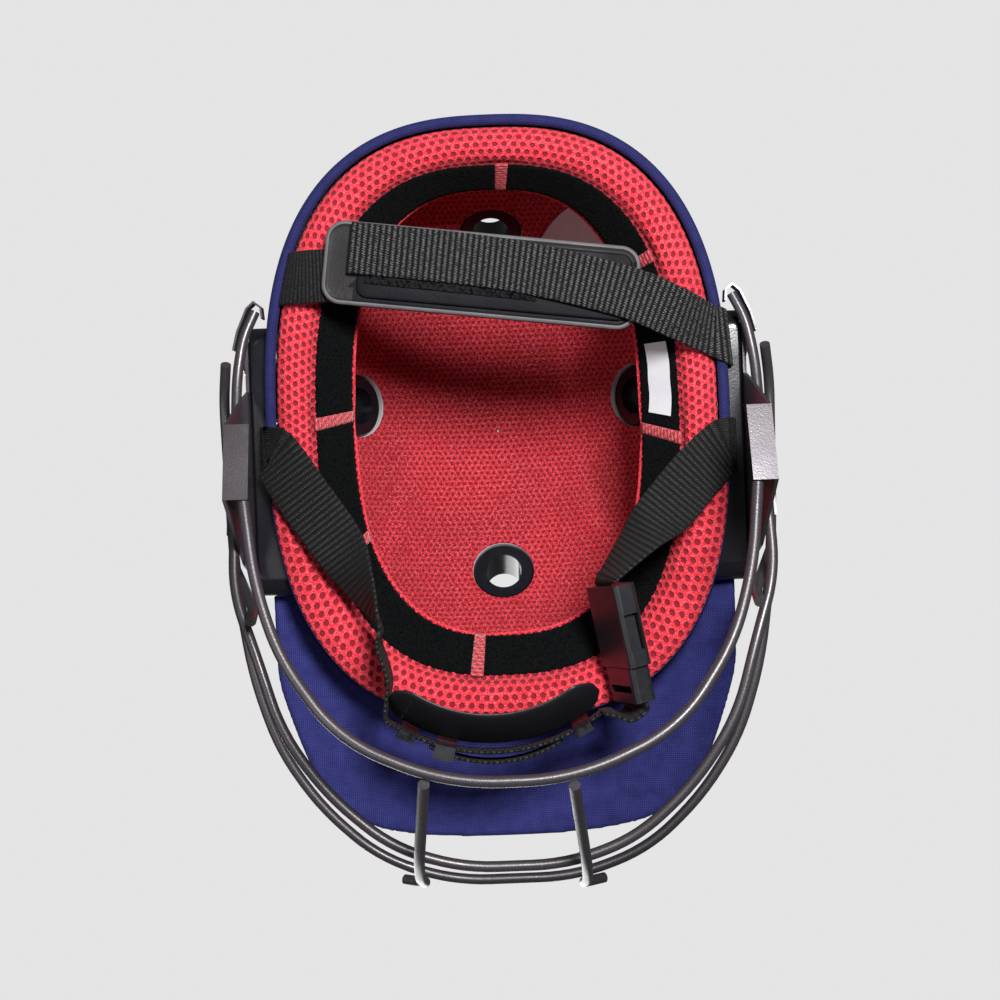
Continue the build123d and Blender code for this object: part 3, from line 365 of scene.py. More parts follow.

# %% [markdown]
# The band that touches the forehead is a thick red spacer mesh with large holes. The crown is lined
# with a finer one. Both are the same recipe at two sizes: strands that catch the light, and holes
# painted dark as shade, less dark in the middle where the layer below shows.

# %% Red mesh, coarse and fine


def red_mesh(name, pitch, hole, depth, bright, dull):
    """Red spacer mesh with holes at a given pitch."""
    material, inputs, uv, place = finish_of(
        name, Sheen_Weight=0.12, Sheen_Roughness=0.5, Sheen_Tint=(1, 0.45, 0.5, 1), Specular_IOR_Level=0.2
    )
    knit = effect(mesh_knit, uv, Pitch=pitch, Hole=hole)
    pile = noise(place, 1300, 3.0)
    cloth = mix(ramp(noise(place, 28, 3.0), 0.3, 0.7), dull, bright)
    flecked = mix(ramp(pile, 0.42, 0.68, 0.0, 0.55), cloth, (0.86, 0.15, 0.18))
    # The holes are painted dark red as shade in the recess, less dark towards their middle.
    painted_hole_shade = mix(ramp(knit["Hole"], 0.7, 1.0, 0.0, 0.6), (0.09, 0.002, 0.006), (0.3, 0.016, 0.03))
    roughness = ramp(knit["Hole"], 0.0, 1.0, 0.74, 0.95)
    feed(inputs, mix(knit["Hole"], flecked, painted_hole_shade), roughness, knit["Height"] + pile * 0.25, depth)
    return material


band_mesh = red_mesh("red_band_mesh", 0.0044, 0.27, 0.0007, (0.64, 0.02, 0.038), (0.5, 0.011, 0.025))
crown_mesh = red_mesh("red_crown_mesh", 0.0032, 0.235, 0.0004, (0.41, 0.009, 0.019), (0.3, 0.005, 0.011))
print("red mesh ready")

# %% [markdown]
# Loop tape is a black pile of tiny loops: no gloss at all, and a fuzzy surface. Hook tape is the same
# black with a coarser, stiffer texture.

# %% Loop and hook tape


def pile_tape(name, size, depth, light):
    """Black pile with loops of a given size."""
    material, inputs, _, place = finish_of(
        name, Sheen_Weight=0.02, Sheen_Roughness=0.6, Sheen_Tint=(0.5, 0.55, 0.58, 1), Specular_IOR_Level=0.05
    )
    loops = effect(pebbles, place, Size=size, Break=1.1)
    # Tops of the loops are lighter and the gaps between them darker: painted shade between the loops.
    colour = mix(ramp(loops["Height"], 0.7, 1.35), (0.0006, 0.0007, 0.0008), light)
    feed(inputs, colour, 0.97, loops["Height"], depth)
    return material


loop_pile = pile_tape("black_loop_pile", 0.0009, 0.0006, (0.0034, 0.0039, 0.0041))
hook_pile = pile_tape("black_hook_pile", 0.0012, 0.0007, (0.012, 0.0125, 0.013))
print("tape ready")

# %% [markdown]
# Black webbing: ribs across the strap, the grooves between them painted darker as shade, and pale painted
# glints on top of the threads.

# %% Black webbing


def ribbed(name, rib, thread, glint_colour):
    """Black ribbed webbing with painted glints of a given colour and painted shade in its grooves."""
    material, inputs, uv, _ = finish_of(
        name, Sheen_Weight=0.02, Sheen_Roughness=0.5, Specular_IOR_Level=0.25
    )
    weave = effect(webbing_ribs, uv, Rib=rib, Thread=thread)
    # The grooves between the ribs are painted much darker than the rib tops: painted shade.
    yarn = mix(weave["Height"], (0.0005, 0.0005, 0.0006), (0.0038, 0.0038, 0.004))
    roughness = ramp(weave["Height"], 0.2, 1.0, 0.9, 0.5)
    feed(inputs, mix(weave["Fleck"], yarn, glint_colour), roughness, weave["Height"], 0.00055)
    return material


# The neck webbing gets brighter painted glints than the chin strap's webbing.
black_webbing = ribbed("black_webbing", 0.0026, 0.0011, (0.024, 0.025, 0.024))
neck_yarn = ribbed("black_neck_webbing", 0.0026, 0.0011, (0.11, 0.112, 0.11))
black_elastic = ribbed("black_elastic", 0.0017, 0.0008, (0.03, 0.03, 0.03))
stitch_thread = ribbed("grey_stitch_thread", 0.0008, 0.0004, (0.3, 0.31, 0.3))
print("webbing ready")

# %% [markdown]
# The bars across the loop tape are close rows of red thread. They use the webbing's ribs, made as fine
# as thread and turned by a quarter, with red yarn.

# %% Red stitched bars
red_stitches, inputs, uv, _ = finish_of("red_stitched_bar", Sheen_Weight=0.3, Sheen_Roughness=0.4)
quarter_turned = uv.new_node("CombineXYZ")
join(split(uv)["Y"], quarter_turned.inputs["X"])
join(split(uv)["X"], quarter_turned.inputs["Y"])
threads = effect(webbing_ribs, Wire(quarter_turned.outputs[0]), Rib=0.0014, Thread=0.004)
# Dark red in the grooves between the threads is painted shade.
yarn = mix(threads["Height"], (0.015, 0.001, 0.001), (0.6, 0.03, 0.045))
# The pale red on the tops of the threads is a painted glint.
feed(inputs, mix(threads["Fleck"], yarn, (0.85, 0.12, 0.15)), 0.6, threads["Height"], 0.0006)
print("stitched bars ready")

# %% [markdown]
# Plastic has a fine grain and paler edges where it is rubbed. Soft coated plastic, as on the neck pad
# and the chin cup, has a leather grain and a dull shine. Moulded plastic is smoother and glossier.

# %% Soft and hard plastic
soft = {"depth": 0.00012, "strength": 0.6, "broken": 0.5, "rubbed": (0.53, 0.35), "paler": (2.4, 0.02)}
hard = {"depth": 0.00003, "strength": 0.5, "broken": 0.6, "rubbed": (0.56, 0.15), "paler": (2.0, 0.01)}
soft["spread"], hard["spread"] = (0.3, 0.7, 0.07, 0.07), (0.2, 0.8, 0.03, 0.02)


def plastic(name, size, dark, light, roughness, gloss, kind):
    """Grained plastic with paler edges."""
    material, inputs, _, place = finish_of(name, Specular_IOR_Level=gloss)
    grain = effect(pebbles, place, Size=size, Break=kind["broken"])
    wear = effect(edge_wear, place, Start=kind["rubbed"][0], Amount=kind["rubbed"][1])["Wear"]
    pale = [min(1.0, value * kind["paler"][0] + kind["paler"][1]) for value in light]
    low, high, duller, shinier = kind["spread"]
    uneven = ramp(grain["Shade"], low, high, roughness + duller, roughness - shinier)
    colour = mix(wear, mix(grain["Shade"], dark, light), pale)
    feed(inputs, colour, uneven, grain["Height"], kind["depth"], kind["strength"])
    return material


pad_skin = plastic("grey_pad_skin", 0.0011, (0.013, 0.012, 0.0125), (0.022, 0.02, 0.021), 0.5, 0.12, soft)
# The lip's paler finish is partly the cut edge's own colour and partly a painted highlight.
pad_lip_with_highlight = plastic("pale_pad_lip_with_painted_highlight", 0.0006, (0.07, 0.066, 0.07), (0.11, 0.104, 0.108), 0.6, 0.4, soft)
panel_dark, panel_light = (0.004, 0.004, 0.0055), (0.009, 0.009, 0.012)
panel_skin = plastic("black_panel_skin", 0.0009, panel_dark, panel_light, 0.5, 0.06, soft)
cup_skin = plastic("black_cup_skin", 0.0012, (0.007, 0.007, 0.009), (0.014, 0.014, 0.017), 0.42, 0.4, soft)
gloss_black, satin_black, keeper_grey, shell_plastic = (
    plastic(name, 0.0009, dark, light, roughness, 0.55, hard) for name, dark, light, roughness in (
        ("gloss_black_plastic", (0.004, 0.004, 0.006), (0.009, 0.009, 0.013), 0.17),
        ("satin_black_plastic", (0.006, 0.006, 0.008), (0.012, 0.012, 0.015), 0.33),
        ("grey_keeper_plastic", (0.016, 0.016, 0.018), (0.028, 0.028, 0.031), 0.3),
        ("shell_plastic", (0.03, 0.03, 0.033), (0.05, 0.05, 0.055), 0.4),
    )
)
beads = hard | {"depth": 0.0003}
bead_foam = plastic("bead_foam", 0.003, (0.35, 0.35, 0.36), (0.5, 0.5, 0.51), 0.8, 0.55, beads)
print("plastic ready")

# %% [markdown]
# The guard's wires are dipped in a dark grey powder coat: a fine orange-peel surface with a satin
# shine and a few bright flakes. Screws, washers and nuts are bare brushed steel.

# %% Powder coat and steel
wire_paint, inputs, _, place = finish_of("grey_powder_coat", Coat_Weight=0.15, Coat_Roughness=0.25)
peel = effect(pebbles, place, Size=0.0007, Break=0.8)
worn = effect(edge_wear, place, Start=0.64, Amount=0.12)["Wear"]
flakes = ramp(noise(place, 3800, 1.0), 0.66, 0.74, 0.0, 0.6)
paint = mix(flakes, mix(peel["Shade"], (0.05, 0.044, 0.049), (0.085, 0.076, 0.084)), (0.42, 0.4, 0.43))
join(worn * 0.4 + 0.55, inputs["Metallic"])
roughness = ramp(peel["Shade"], 0.3, 0.7, 0.42, 0.3)
feed(inputs, mix(worn, paint, (0.5, 0.49, 0.5)), roughness, peel["Height"], 0.00005, 0.6)

screw_steel, inputs, _, place = finish_of("screw_steel", Metallic=1.0)
brushed = noise(place * (1400, 1400, 160), 1.0, 3.0)
steel = Vector((0.7, 0.69, 0.68))
feed(inputs, mix(brushed, steel, steel * 1.25), ramp(brushed, 0.3, 0.7, 0.34, 0.2), brushed, 0.00002, 0.5)
print("metal ready")

# %% [markdown]
# The two labels are blank white satin ribbon, with a fine weave and a slight shine.

# %% Label satin
label_satin, inputs, uv, _ = finish_of("white_label_satin", Sheen_Weight=0.3, Sheen_Roughness=0.3)
weave = effect(plain_weave, uv, Thread=0.00035)
satin = mix(weave["Shade"], (0.6, 0.6, 0.63), (0.72, 0.72, 0.75))
feed(inputs, satin, ramp(weave["Height"], 0.0, 1.0, 0.62, 0.42), weave["Height"], 0.00008, 0.6)
print("label satin ready")

# %% [markdown]
# Now the hard pieces get their finishes. Their shapes are right as they are, so only the material is
# assigned. Pieces of one kind share the start of their names.

# %% Finishes of the hard pieces
finishes = {
    shell_plastic: ("hard_shell", "peak_core"),
    bead_foam: ("crown_foam",),
    wire_paint: (
        "top_bar", "middle_bar", "chin_bar", "centre_upright", "side_upright",
        "side_plate", "gusset", "rear_clip",
    ),
    screw_steel: ("grille_screws", "grille_washers", "tee_nuts"),
    gloss_black: ("spacer_block", "vent_eyelet", "vent_cap"),
    satin_black: ("buckle",),
    keeper_grey: ("strap_keeper",),
    panel_skin: ("chin_cup_loops",),
}
finished = 0
for finish, starts in finishes.items():
    for name, solid in frame["nodes"].items():
        if name.startswith(starts):
            solid.data.materials.clear()
            solid.data.materials.append(finish)
            finished += 1
print("finished", finished, "hard pieces")

# %% [markdown]
# Every soft piece is a grid of points: rows across it and columns along it. One helper joins such a
# grid into a smooth skin and lays its texture places in true metres, so threads and holes keep their
# real size wherever the skin goes.

# %% Helpers that make soft skins


def skin(name, rows, places, finish, ring=False, tube=False, ends=False):
    """A smooth skin over rows of level points; places(row, column) gives each corner's texture place."""
    count = len(rows[0])
    mesh = bpy.data.meshes.new(name)
    faces, corners = [], []
    for row in range(len(rows) - (0 if tube else 1)):
        for column in range(count - (0 if ring else 1)):
            quad = ((row, column), (row, column + 1), (row + 1, column + 1), (row + 1, column))
            faces.append([(r % len(rows)) * count + c % count for r, c in quad])
            corners += [places(r, c) for r, c in quad]
    if ends:
        for row in (0, len(rows) - 1):
            faces.append([row * count + column for column in range(count)])
            corners += [places(row, column) for column in range(count)]
    mesh.from_pydata([stand(point) for line in rows for point in line], [], faces)
    layer = mesh.uv_layers.new(name="texture_place")
    for loop, place in zip(layer.data, corners):
        loop.uv = place
    form = bmesh.new()
    form.from_mesh(mesh)
    bmesh.ops.recalc_face_normals(form, faces=form.faces)
    form.to_mesh(mesh)
    form.free()
    mesh.shade_smooth()
    mesh.materials.append(finish)
    return show(name, mesh)


def runs(points, closed=False):
    """Distances along a line of points, in metres, starting at zero."""
    total, result = 0.0, [0.0]
    following = points[1:] + points[:1] if closed else points[1:]
    for here, there in zip(points, following):
        total += (Vector(there) - Vector(here)).length / 1000
        result.append(total)
    return result


def settle(piece, slot, *nodes, body="helmet"):
    """Put a new piece on its body, in place of the solids it stands for; the slot is not used."""
    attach(piece, body)
    if nodes:
        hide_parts(*nodes)
    size = ", ".join(f"{value * 1000:.0f}" for value in piece.dimensions)
    print(f"{piece.name}: {len(piece.data.polygons)} faces, {size} mm")


# %% [markdown]
# Seen from above, the helmet is a squarish oval. The same curve, at several sizes, makes the shell, the
# lining and the band. Its points are spread evenly by distance, so that texture and stitches are even.

# %% The plan oval
rim_half, rim_front, rim_back = 106.0, -101.0, 176.0
middle_y, rim_reach = (rim_front + rim_back) / 2, (rim_back - rim_front) / 2
widest, dome_top, bulge = 40.0, 145.0, 3.2
squareness, fine_steps = 2.6, 1440


def squared_off(share, power):
    """A cosine or sine that makes a circle squarish."""
    return math.copysign(abs(share) ** power, share)


def oval(half, front, back, count):
    """Evenly spaced plan points of a squarish oval, starting at the wearer's left."""
    centre, reach = (front + back) / 2, (back - front) / 2
    fine = []
    for turn in turns_round(fine_steps):
        across, along = (squared_off(share, 2 / squareness) for share in (math.cos(turn), math.sin(turn)))
        fine.append((across * half, centre + along * reach))
    passed = [0.0]
    for here, there in zip(fine, fine[1:] + fine[:1]):
        passed.append(passed[-1] + math.dist(here, there))
    result, place = [], 0
    for step in range(count):
        wanted = passed[-1] * step / count
        while passed[place + 1] < wanted:
            place += 1
        share = (wanted - passed[place]) / (passed[place + 1] - passed[place])
        here, there = fine[place], fine[(place + 1) % fine_steps]
        result.append((here[0] + (there[0] - here[0]) * share, here[1] + (there[1] - here[1]) * share))
    return result


def rim_oval(grow, count):
    """The rim's oval, grown by a distance."""
    return oval(rim_half + grow, rim_front - grow, rim_back + grow, count)


def at_level(plan, level):
    """Plan points raised to a level."""
    return [Vector((x, y, level)) for x, y in plan]


def turns_round(count):
    """Even turns round a circle, in radians."""
    return [math.tau * side / count for side in range(count)]


def grown(level, inset):
    """How far the wall stands outside the rim line at a level."""
    below = max(0.0, (widest - level) / widest)
    return bulge * (1 - below ** 2) - inset


print("rim is", round(runs([(*point, 0) for point in rim_oval(0, 200)], True)[-1] * 1000), "mm round")

# %% [markdown]
# The shell's cover and the crown's lining are the same dome at two sizes. The texture place of a dome
# point is its direction from the top and a mean of its level and slanting distance, which spreads the
# unavoidable squeeze of a flat cloth over a dome.

# %% Dome rows


def dome_rows(inset, levels, angles, count):
    """Rows of a dome from its lowest level to its top."""
    rows = [at_level(rim_oval(grown(level, inset), count), level) for level in levels]
    grow = grown(widest, inset)
    reach, rise = rim_reach + grow, dome_top - widest - inset
    for angle in angles:
        narrow, level = math.cos(math.radians(angle)), widest + rise * math.sin(math.radians(angle))
        ring = oval((rim_half + grow) * narrow, middle_y - reach * narrow, middle_y + reach * narrow, count)
        rows.append(at_level(ring, level))
    return rows


def dome_places(rows):
    """Texture places for a dome's rows."""
    count = len(rows[0])
    passed = [runs([row[column] for row in reversed(rows)])[::-1] for column in range(count)]

    def place(row, column):
        point = rows[row][column % count]
        flat = Vector((point.x, point.y - middle_y)) / 1000
        if flat.length < 1e-6:
            return (0.0, 0.0)
        return tuple(flat.normalized() * (flat.length + passed[column % count][row]) / 2)

    return place


vents = {mount["name"][5:]: mount for mount in frame["record"]["mounts"] if mount["name"].startswith("vent_")}


def open_vents(piece, radius):
    """Cut the round openings of the four vents into a skin."""
    form = bmesh.new()
    form.from_mesh(piece.data)
    for vent in vents.values():
        middle, way = Vector(vent["pos_m"]), Vector(vent["axis"]).normalized()

        def reach(point):
            offset = point - middle
            return offset - way * offset.dot(way)

        near = [f for f in form.faces if (f.calc_center_median() - middle).length < 0.06]
        inside = [f for f in near if reach(f.calc_center_median()).length < radius / 1000]
        rim = {v for f in inside for v in f.verts}
        bmesh.ops.delete(form, geom=inside, context="FACES")
        for vertex in rim:
            if vertex.is_valid and vertex.is_boundary:
                out = reach(vertex.co)
                vertex.co += out.normalized() * radius / 1000 - out
    form.to_mesh(piece.data)
    form.free()


print("vents:", ", ".join(vents))

# %% [markdown]
# The cover is three panels of cloth sewn together from front to back, pulled tight over the shell. A
# seam is a narrow groove with a slight swelling on both sides, pressed into the dome's points.

# %% The shell's cover
seam_x, seam_reach, seam_foot = 38.0, 138.0, 8.0
swelling_height, swelling_place, swelling_width = 0.35, 3.0, 1.8
groove_depth, groove_width = 0.3, 0.9
cover_inset, cover_opening = -0.1, 12.6
cover_levels = (2.4, 5, 9, 14, 20, 27, 34)
cover_angles = [3.2 * step for step in range(28)] + [89.6]
cover_rows = dome_rows(cover_inset, cover_levels, cover_angles, 300)
for row in cover_rows:
    for point in row:
        seam = abs(abs(point.x) - seam_x * (1 - 0.1 * ((point.y - middle_y) / seam_reach) ** 2))
        if point.z > seam_foot:
            lift = swelling_height * math.exp(-((seam - swelling_place) / swelling_width) ** 2)
            lift -= groove_depth * math.exp(-(seam / groove_width) ** 2)
            point += Vector((point.x / 2, (point.y - middle_y) / 3, point.z)).normalized() * lift
shell_cover = skin("shell_cover_cloth", cover_rows, dome_places(cover_rows), shell_cloth, ring=True)
open_vents(shell_cover, cover_opening)
settle(shell_cover, "shell_cloth", "shell_cover")

# %% [markdown]
# The crown's lining is the fine red mesh, glued to the foam. It doesn't quite fit the dome, so it
# stands off in two folds between the side vents and the front one. Each fold is steep towards the side
# and fades softly towards the middle.

# %% The crown's lining
lining_inset, lining_opening = 22.75, 16.2
lining_levels = (23.0, 28, 34)
lining_angles = [1.6 * step for step in range(56)] + [89.6]
lining_rows = dome_rows(lining_inset, lining_levels, lining_angles, 220)
creases = (((46, 16), (63, -40)), ((-44, 2), (-62, -38)))
crease_height, crease_steep, crease_soft, ripple = 4.6, 3.4, 15.0, 0.12
for row in lining_rows:
    for point in row:
        fold = 0.0
        for start, end in creases:
            first, last, here = Vector(start), Vector(end), point.xy
            along = (here - first).dot(last - first) / (last - first).length_squared
            if -0.2 < along < 1.2:
                aside = here - first - (last - first) * along
                reach = crease_steep if aside.dot(here - Vector((0, middle_y))) > 0 else crease_soft
                fade = max(0.0, 1 - abs(along - 0.5) / 0.7)
                fold += crease_height * fade * math.exp(-(aside.length / reach) ** 2)
        inward = Vector((-point.x, middle_y - point.y, -point.z * 0.8)).normalized()
        point += inward * (fold + ripple * math.sin(point.x * 0.21) * math.sin(point.y * 0.17))
crown_lining = skin("crown_lining_mesh", lining_rows, dome_places(lining_rows), crown_mesh, ring=True)
open_vents(crown_lining, lining_opening)
settle(crown_lining, "red_mesh", "crown_lining")

# %% [markdown]
# The rim is finished with a cloth-covered cord, the piping. It is a tube round the rim line, and the
# cloth on it puckers a little where it is sewn.

# %% The rim's piping
piping_radius, piping_steps, piping_sides, pucker_depth = 2.5, 520, 14, 0.035
rim_line = rim_oval(-piping_radius, piping_steps)
rim_runs = runs([(*point, 0) for point in rim_line], True)
piping_rows = []
for step, (x, y) in enumerate(rim_line):
    before, after = rim_line[step - 1], rim_line[(step + 1) % piping_steps]
    out = Vector((after[1] - before[1], before[0] - after[0], 0)).normalized()
    pucker = 1 + pucker_depth * math.sin(step * 1.31) * math.sin(step * 0.37)
    ring = []
    for side, turn in enumerate(turns_round(piping_sides)):
        radius = piping_radius * (pucker if side < 8 else 1)
        ring.append(Vector((x, y, math.sin(turn) * radius)) + out * math.cos(turn) * radius)
    piping_rows.append(ring)
round_piping = math.tau * piping_radius / 1000
# The piping wears the navy painted darker as shade.
rim_piping = skin(
    "rim_piping_cloth", piping_rows, lambda r, c: (rim_runs[r], c / piping_sides * round_piping),
    piping_cloth_painted_darker, ring=True, tube=True,
)
settle(rim_piping, "shell_cloth", "rim_piping")

# %% [markdown]
# The headband pad is a wedge of foam in red spacer mesh: a flat foot between the rim and the loop tape,
# and a slope that meets the head. Foam in cloth is never flat, so the foot is crowned between its
# edges, and the stitched bars pinch the slope. The band's front half covers the piping.

# %% The headband pad
bar_angles = (-83, 2, -173, 93, 134, -40)
slope_foot, slope_top, pad_steps = 3.0, 22.0, 420
foot_plan, plan_change = (85.0, -82.0, 155.0), (-18.0, 19.5, -9.0)
cover_end, cover_fade = 24.0, 22.0
wall_gap, foot_height, piping_cover, pinch_width, pinch_depth = 5.65, 5.9, 0.7, 9.0, 0.7


def slope(level, inset=0.0, count=pad_steps):
    """Plan points of the sloping inner face at a level."""
    share = (level - slope_foot) / (slope_top - slope_foot)
    half, front, back = (size + change * share for size, change in zip(foot_plan, plan_change))
    return oval(half - inset, front + inset, back - inset, count)


def from_angle(x, y, angle):
    """How far a plan point's direction is from an angle, in degrees."""
    return abs((math.degrees(math.atan2(y - middle_y, x)) - angle + 180) % 360 - 180)


def near_bar(x, y, width):
    """One at a stitched bar and nothing away from it."""
    near = math.radians(min(from_angle(x, y, angle) for angle in bar_angles))
    return math.exp(-(near * math.hypot(x, y - middle_y) / width) ** 2)


def over_piping(y):
    """Nothing behind the chin straps and one before them, where the band covers the piping."""
    share = min(1.0, max(0.0, (cover_end - y) / cover_fade))
    return share * share * (3 - 2 * share)


outer = [at_level(rim_oval(grown(level, wall_gap), pad_steps), level) for level in (22, 17, 12, 7, 3)]
inner = [at_level(slope(level), level) for level in (3, 5, 8, 12, 16, 20, 22.4)]
foot, edge_line = [], rim_oval(-piping_cover, pad_steps)
for share in (0.0, 0.02, 0.07, 0.15, 0.26, 0.4, 0.55, 0.7, 0.82, 0.92, 0.98):
    belly = []
    for out, into, (x, y) in zip(outer[-1], inner[0], edge_line):
        start = out.lerp(Vector((x, y, -1.2)), over_piping(y))
        point = start.lerp(into, share)
        wave = 0.94 + 0.06 * math.sin(point.x * 0.09 + point.y * 0.05)
        point.z -= (foot_height - over_piping(y)) * wave * math.sin(math.pi * share) ** 0.55
        belly.append(point)
    foot.append(belly)
pad_rows = outer + foot + inner
for row in inner:
    for point in row:
        flat = Vector((point.x, point.y - middle_y, 0)).normalized()
        point += flat * near_bar(point.x, point.y, pinch_width) * pinch_depth
pad_columns = runs(pad_rows[10], True)
pad_across = [runs([row[column] for row in pad_rows]) for column in range(0, pad_steps, 20)]
mean_across = [sum(column[row] for column in pad_across) / len(pad_across) for row in range(len(pad_rows))]
headband = skin(
    "headband_pad_mesh", pad_rows, lambda r, c: (pad_columns[c], mean_across[r]), band_mesh, ring=True
)
settle(headband, "red_mesh", "headband_pad")

# %% [markdown]
# Loop tape runs round the slope in lengths, with stitched red bars between them. Each length is a thin
# closed strip with soft edges, laid on the slope. The tape's pile makes its edges ragged.

# %% Strips on the slope
slope_cache = {}


def slope_point(place, level, inset):
    """The point on the slope at a share of the way round and a level."""
    key = (round(level, 3), round(inset, 3))
    if key not in slope_cache:
        slope_cache[key] = slope(level, inset, fine_steps)
    return Vector((*slope_cache[key][int(place * fine_steps) % fine_steps], level))


level_ring = slope(12.0, 0.2, fine_steps)
bar_places = []
for angle in bar_angles:
    gaps = [from_angle(x, y, angle) for x, y in level_ring]
    bar_places.append(gaps.index(min(gaps)) / fine_steps)
bar_places.sort()
slope_length = runs([(*point, 0) for point in level_ring], True)[-1]
half_bar = 2.9 / 1000 / slope_length
print("bars at", [round(place, 3) for place in bar_places], "of", round(slope_length * 1000), "mm")


def slope_strip(name, ends, levels, lifts, finish, crown=0.0, step=0.0016, ragged=0.0):
    """A closed strip on the slope, from one place to another."""
    (start, end), (low, high), (near, far) = ends, levels, lifts
    count = max(4, int((end - start) * slope_length / step))
    section = (
        (0, 0.5), (0.02, 0.9), (0.12, 1), (0.5, 1), (0.88, 1),
        (0.98, 0.9), (1, 0.5), (0.98, 0.1), (0.5, 0), (0.02, 0.1),
    )
    rows = []
    for index in range(count + 1):
        along = start + (end - start) * index / count
        tip = min(index, count - index) / count
        puff = crown * (1 - (1 - min(1, tip * 5)) ** 2)
        line = []
        for across, up in section:
            fray = ragged * (math.sin(index * 2.399 + across * 9) + 0.7 * math.sin(index * 5.13 + across * 4))
            level = low + (high - low) * across + fray * (2 * across - 1)
            lift = near + (far - near) * up + puff * up * math.sin(math.pi * across)
            line.append(slope_point(along % 1, level, lift))
        rows.append(line)

    def place(row, column):
        return row * step, section[column % len(section)][0] * (high - low) / 1000

    return skin(name, rows, place, finish, ring=True, ends=True)


tape_pieces, bar_pieces = [], []
for index, place in enumerate(bar_places):
    following = (bar_places + [bar_places[0] + 1])[index + 1]
    tape_ends = (place + half_bar, following - half_bar)
    bar_ends = (place - half_bar * 0.97, place + half_bar * 0.97)
    tape_pieces.append(
        slope_strip(f"loop_tape_{index}", tape_ends, (4, 20), (0.2, 1.5), loop_pile, step=0.001, ragged=0.22)
    )
    bar_pieces.append(
        slope_strip(f"stitch_bar_{index}", bar_ends, (3.2, 20.6), (0.2, 1.3), red_stitches, crown=0.5)
    )
for pieces, slot, node in ((tape_pieces, "loop_tape", "loop_tape"), (bar_pieces, "red_mesh", "stitch_bars")):
    for index, piece in enumerate(pieces):
        settle(piece, slot, *(() if index else (node,)))

# %% [markdown]
# The peak is a stiff core in a sleeve of the shell's cloth. The solid's own form is copied and remade
# in even faces, and smoothing softens its edges as cloth does. Its rear corners reach a little further
# back, where the sleeve is sewn to the shell. The texture lies flat from above.

# %% The peak's cloth
cloth_detail, cloth_thickness, rear_reach = 0.0011, 0.0012, 0.0045


def cloth_copy(name, node, finish):
    """A softened copy of a solid, remade in small even faces."""
    piece = show(name, frame["nodes"][node].data.copy())
    remake = piece.modifiers.new("even_faces", "REMESH")
    remake.mode, remake.voxel_size, remake.use_smooth_shade = "VOXEL", cloth_detail, True
    soften = piece.modifiers.new("soften", "SMOOTH")
    soften.factor, soften.iterations = 0.5, 4
    stand_off = piece.modifiers.new("stand_off", "DISPLACE")
    stand_off.strength, stand_off.mid_level = cloth_thickness, 0.0
    ready = bpy.data.meshes.new_from_object(piece.evaluated_get(bpy.context.evaluated_depsgraph_get()))
    piece.modifiers.clear()
    piece.data = ready
    ready.name = name
    ready.materials.clear()
    ready.materials.append(finish)
    for vertex in ready.vertices:
        towards_rear = min(1.0, max(0.0, ((vertex.co - rim_middle).dot(to_back) + 0.075) / 0.032))
        vertex.co += to_back * rear_reach * towards_rear ** 2
    layer = ready.uv_layers.new(name="texture_place")
    for loop, mark in zip(ready.loops, layer.data):
        offset = ready.vertices[loop.vertex_index].co - rim_middle
        mark.uv = (offset.dot(to_left), offset.dot(to_back))
    ready.shade_smooth()
    return piece


peak = cloth_copy("peak_cloth", "peak_core", shell_cloth)
settle(peak, "shell_cloth", "peak_cover")

# %% [markdown]
# A strap is a flat band that bends and twists. It is given by a few crosswise lines: a middle, and the
# direction of its width. A smooth curve goes through the middles, and the width turns evenly from line
# to line. Its section is a thin bar with rounded edges.

# %% Straps through crosswise lines
upper_side = (
    (-1, 0), (-0.985, 0.7), (-0.93, 1), (-0.6, 1), (-0.2, 1), (0.2, 1), (0.6, 1), (0.93, 1), (0.985, 0.7),
)
web_section = upper_side + tuple((-across, -up) for across, up in upper_side)


def between(points, place):
    """The place on a smooth curve through points, at a place counted in points."""
    index = min(int(place), len(points) - 2)
    share = place - index
    before = points[index - 1] if index else points[0] * 2 - points[1]
    after = points[index + 2] if index + 2 < len(points) else points[-1] * 2 - points[-2]
    first, last = points[index], points[index + 1]
    return (
        first * 2 + (last - before) * share + (before * 2 - first * 5 + last * 4 - after) * share ** 2
        + (first * 3 - before - last * 3 + after) * share ** 3
    ) / 2


def strap(name, lines, width, thickness, finish, step=1.6, slanted=False):
    """A strap through crosswise lines, each a level middle and a direction across."""
    middles = [Vector(middle) for middle, _ in lines]
    acrosses = [Vector(across) if slanted else Vector(across).normalized() for _, across in lines]
    marks = [0.0]
    for index in range(len(middles) - 1):
        pieces = max(2, round((middles[index + 1] - middles[index]).length / step))
        marks += [index + (part + 1) / pieces for part in range(pieces)]
    line = [between(middles, mark) for mark in marks]
    rows = []
    for index, (mark, here) in enumerate(zip(marks, line)):
        across = between(acrosses, mark)
        ahead = (line[min(index + 1, len(line) - 1)] - line[max(index - 1, 0)]).normalized()
        if not slanted:
            across = (across - ahead * across.dot(ahead)).normalized()
        up = ahead.cross(across).normalized()
        rows.append([here + across * u * width / 2 + up * v * thickness / 2 for u, v in web_section])
    passed = runs(line)

    def place(row, column):
        return passed[row], web_section[column % len(web_section)][0] * width / 2000

    print(f"{name}: {passed[-1] * 1000:.0f} mm long")
    return skin(name, rows, place, finish, ring=True, ends=True)


# %% [markdown]
# The chin strap starts outside the shell on the wearer's left, turns in under the rim, twists on to its
# edge and goes round the chin cup. The same webbing, from the right side, goes into the buckle.

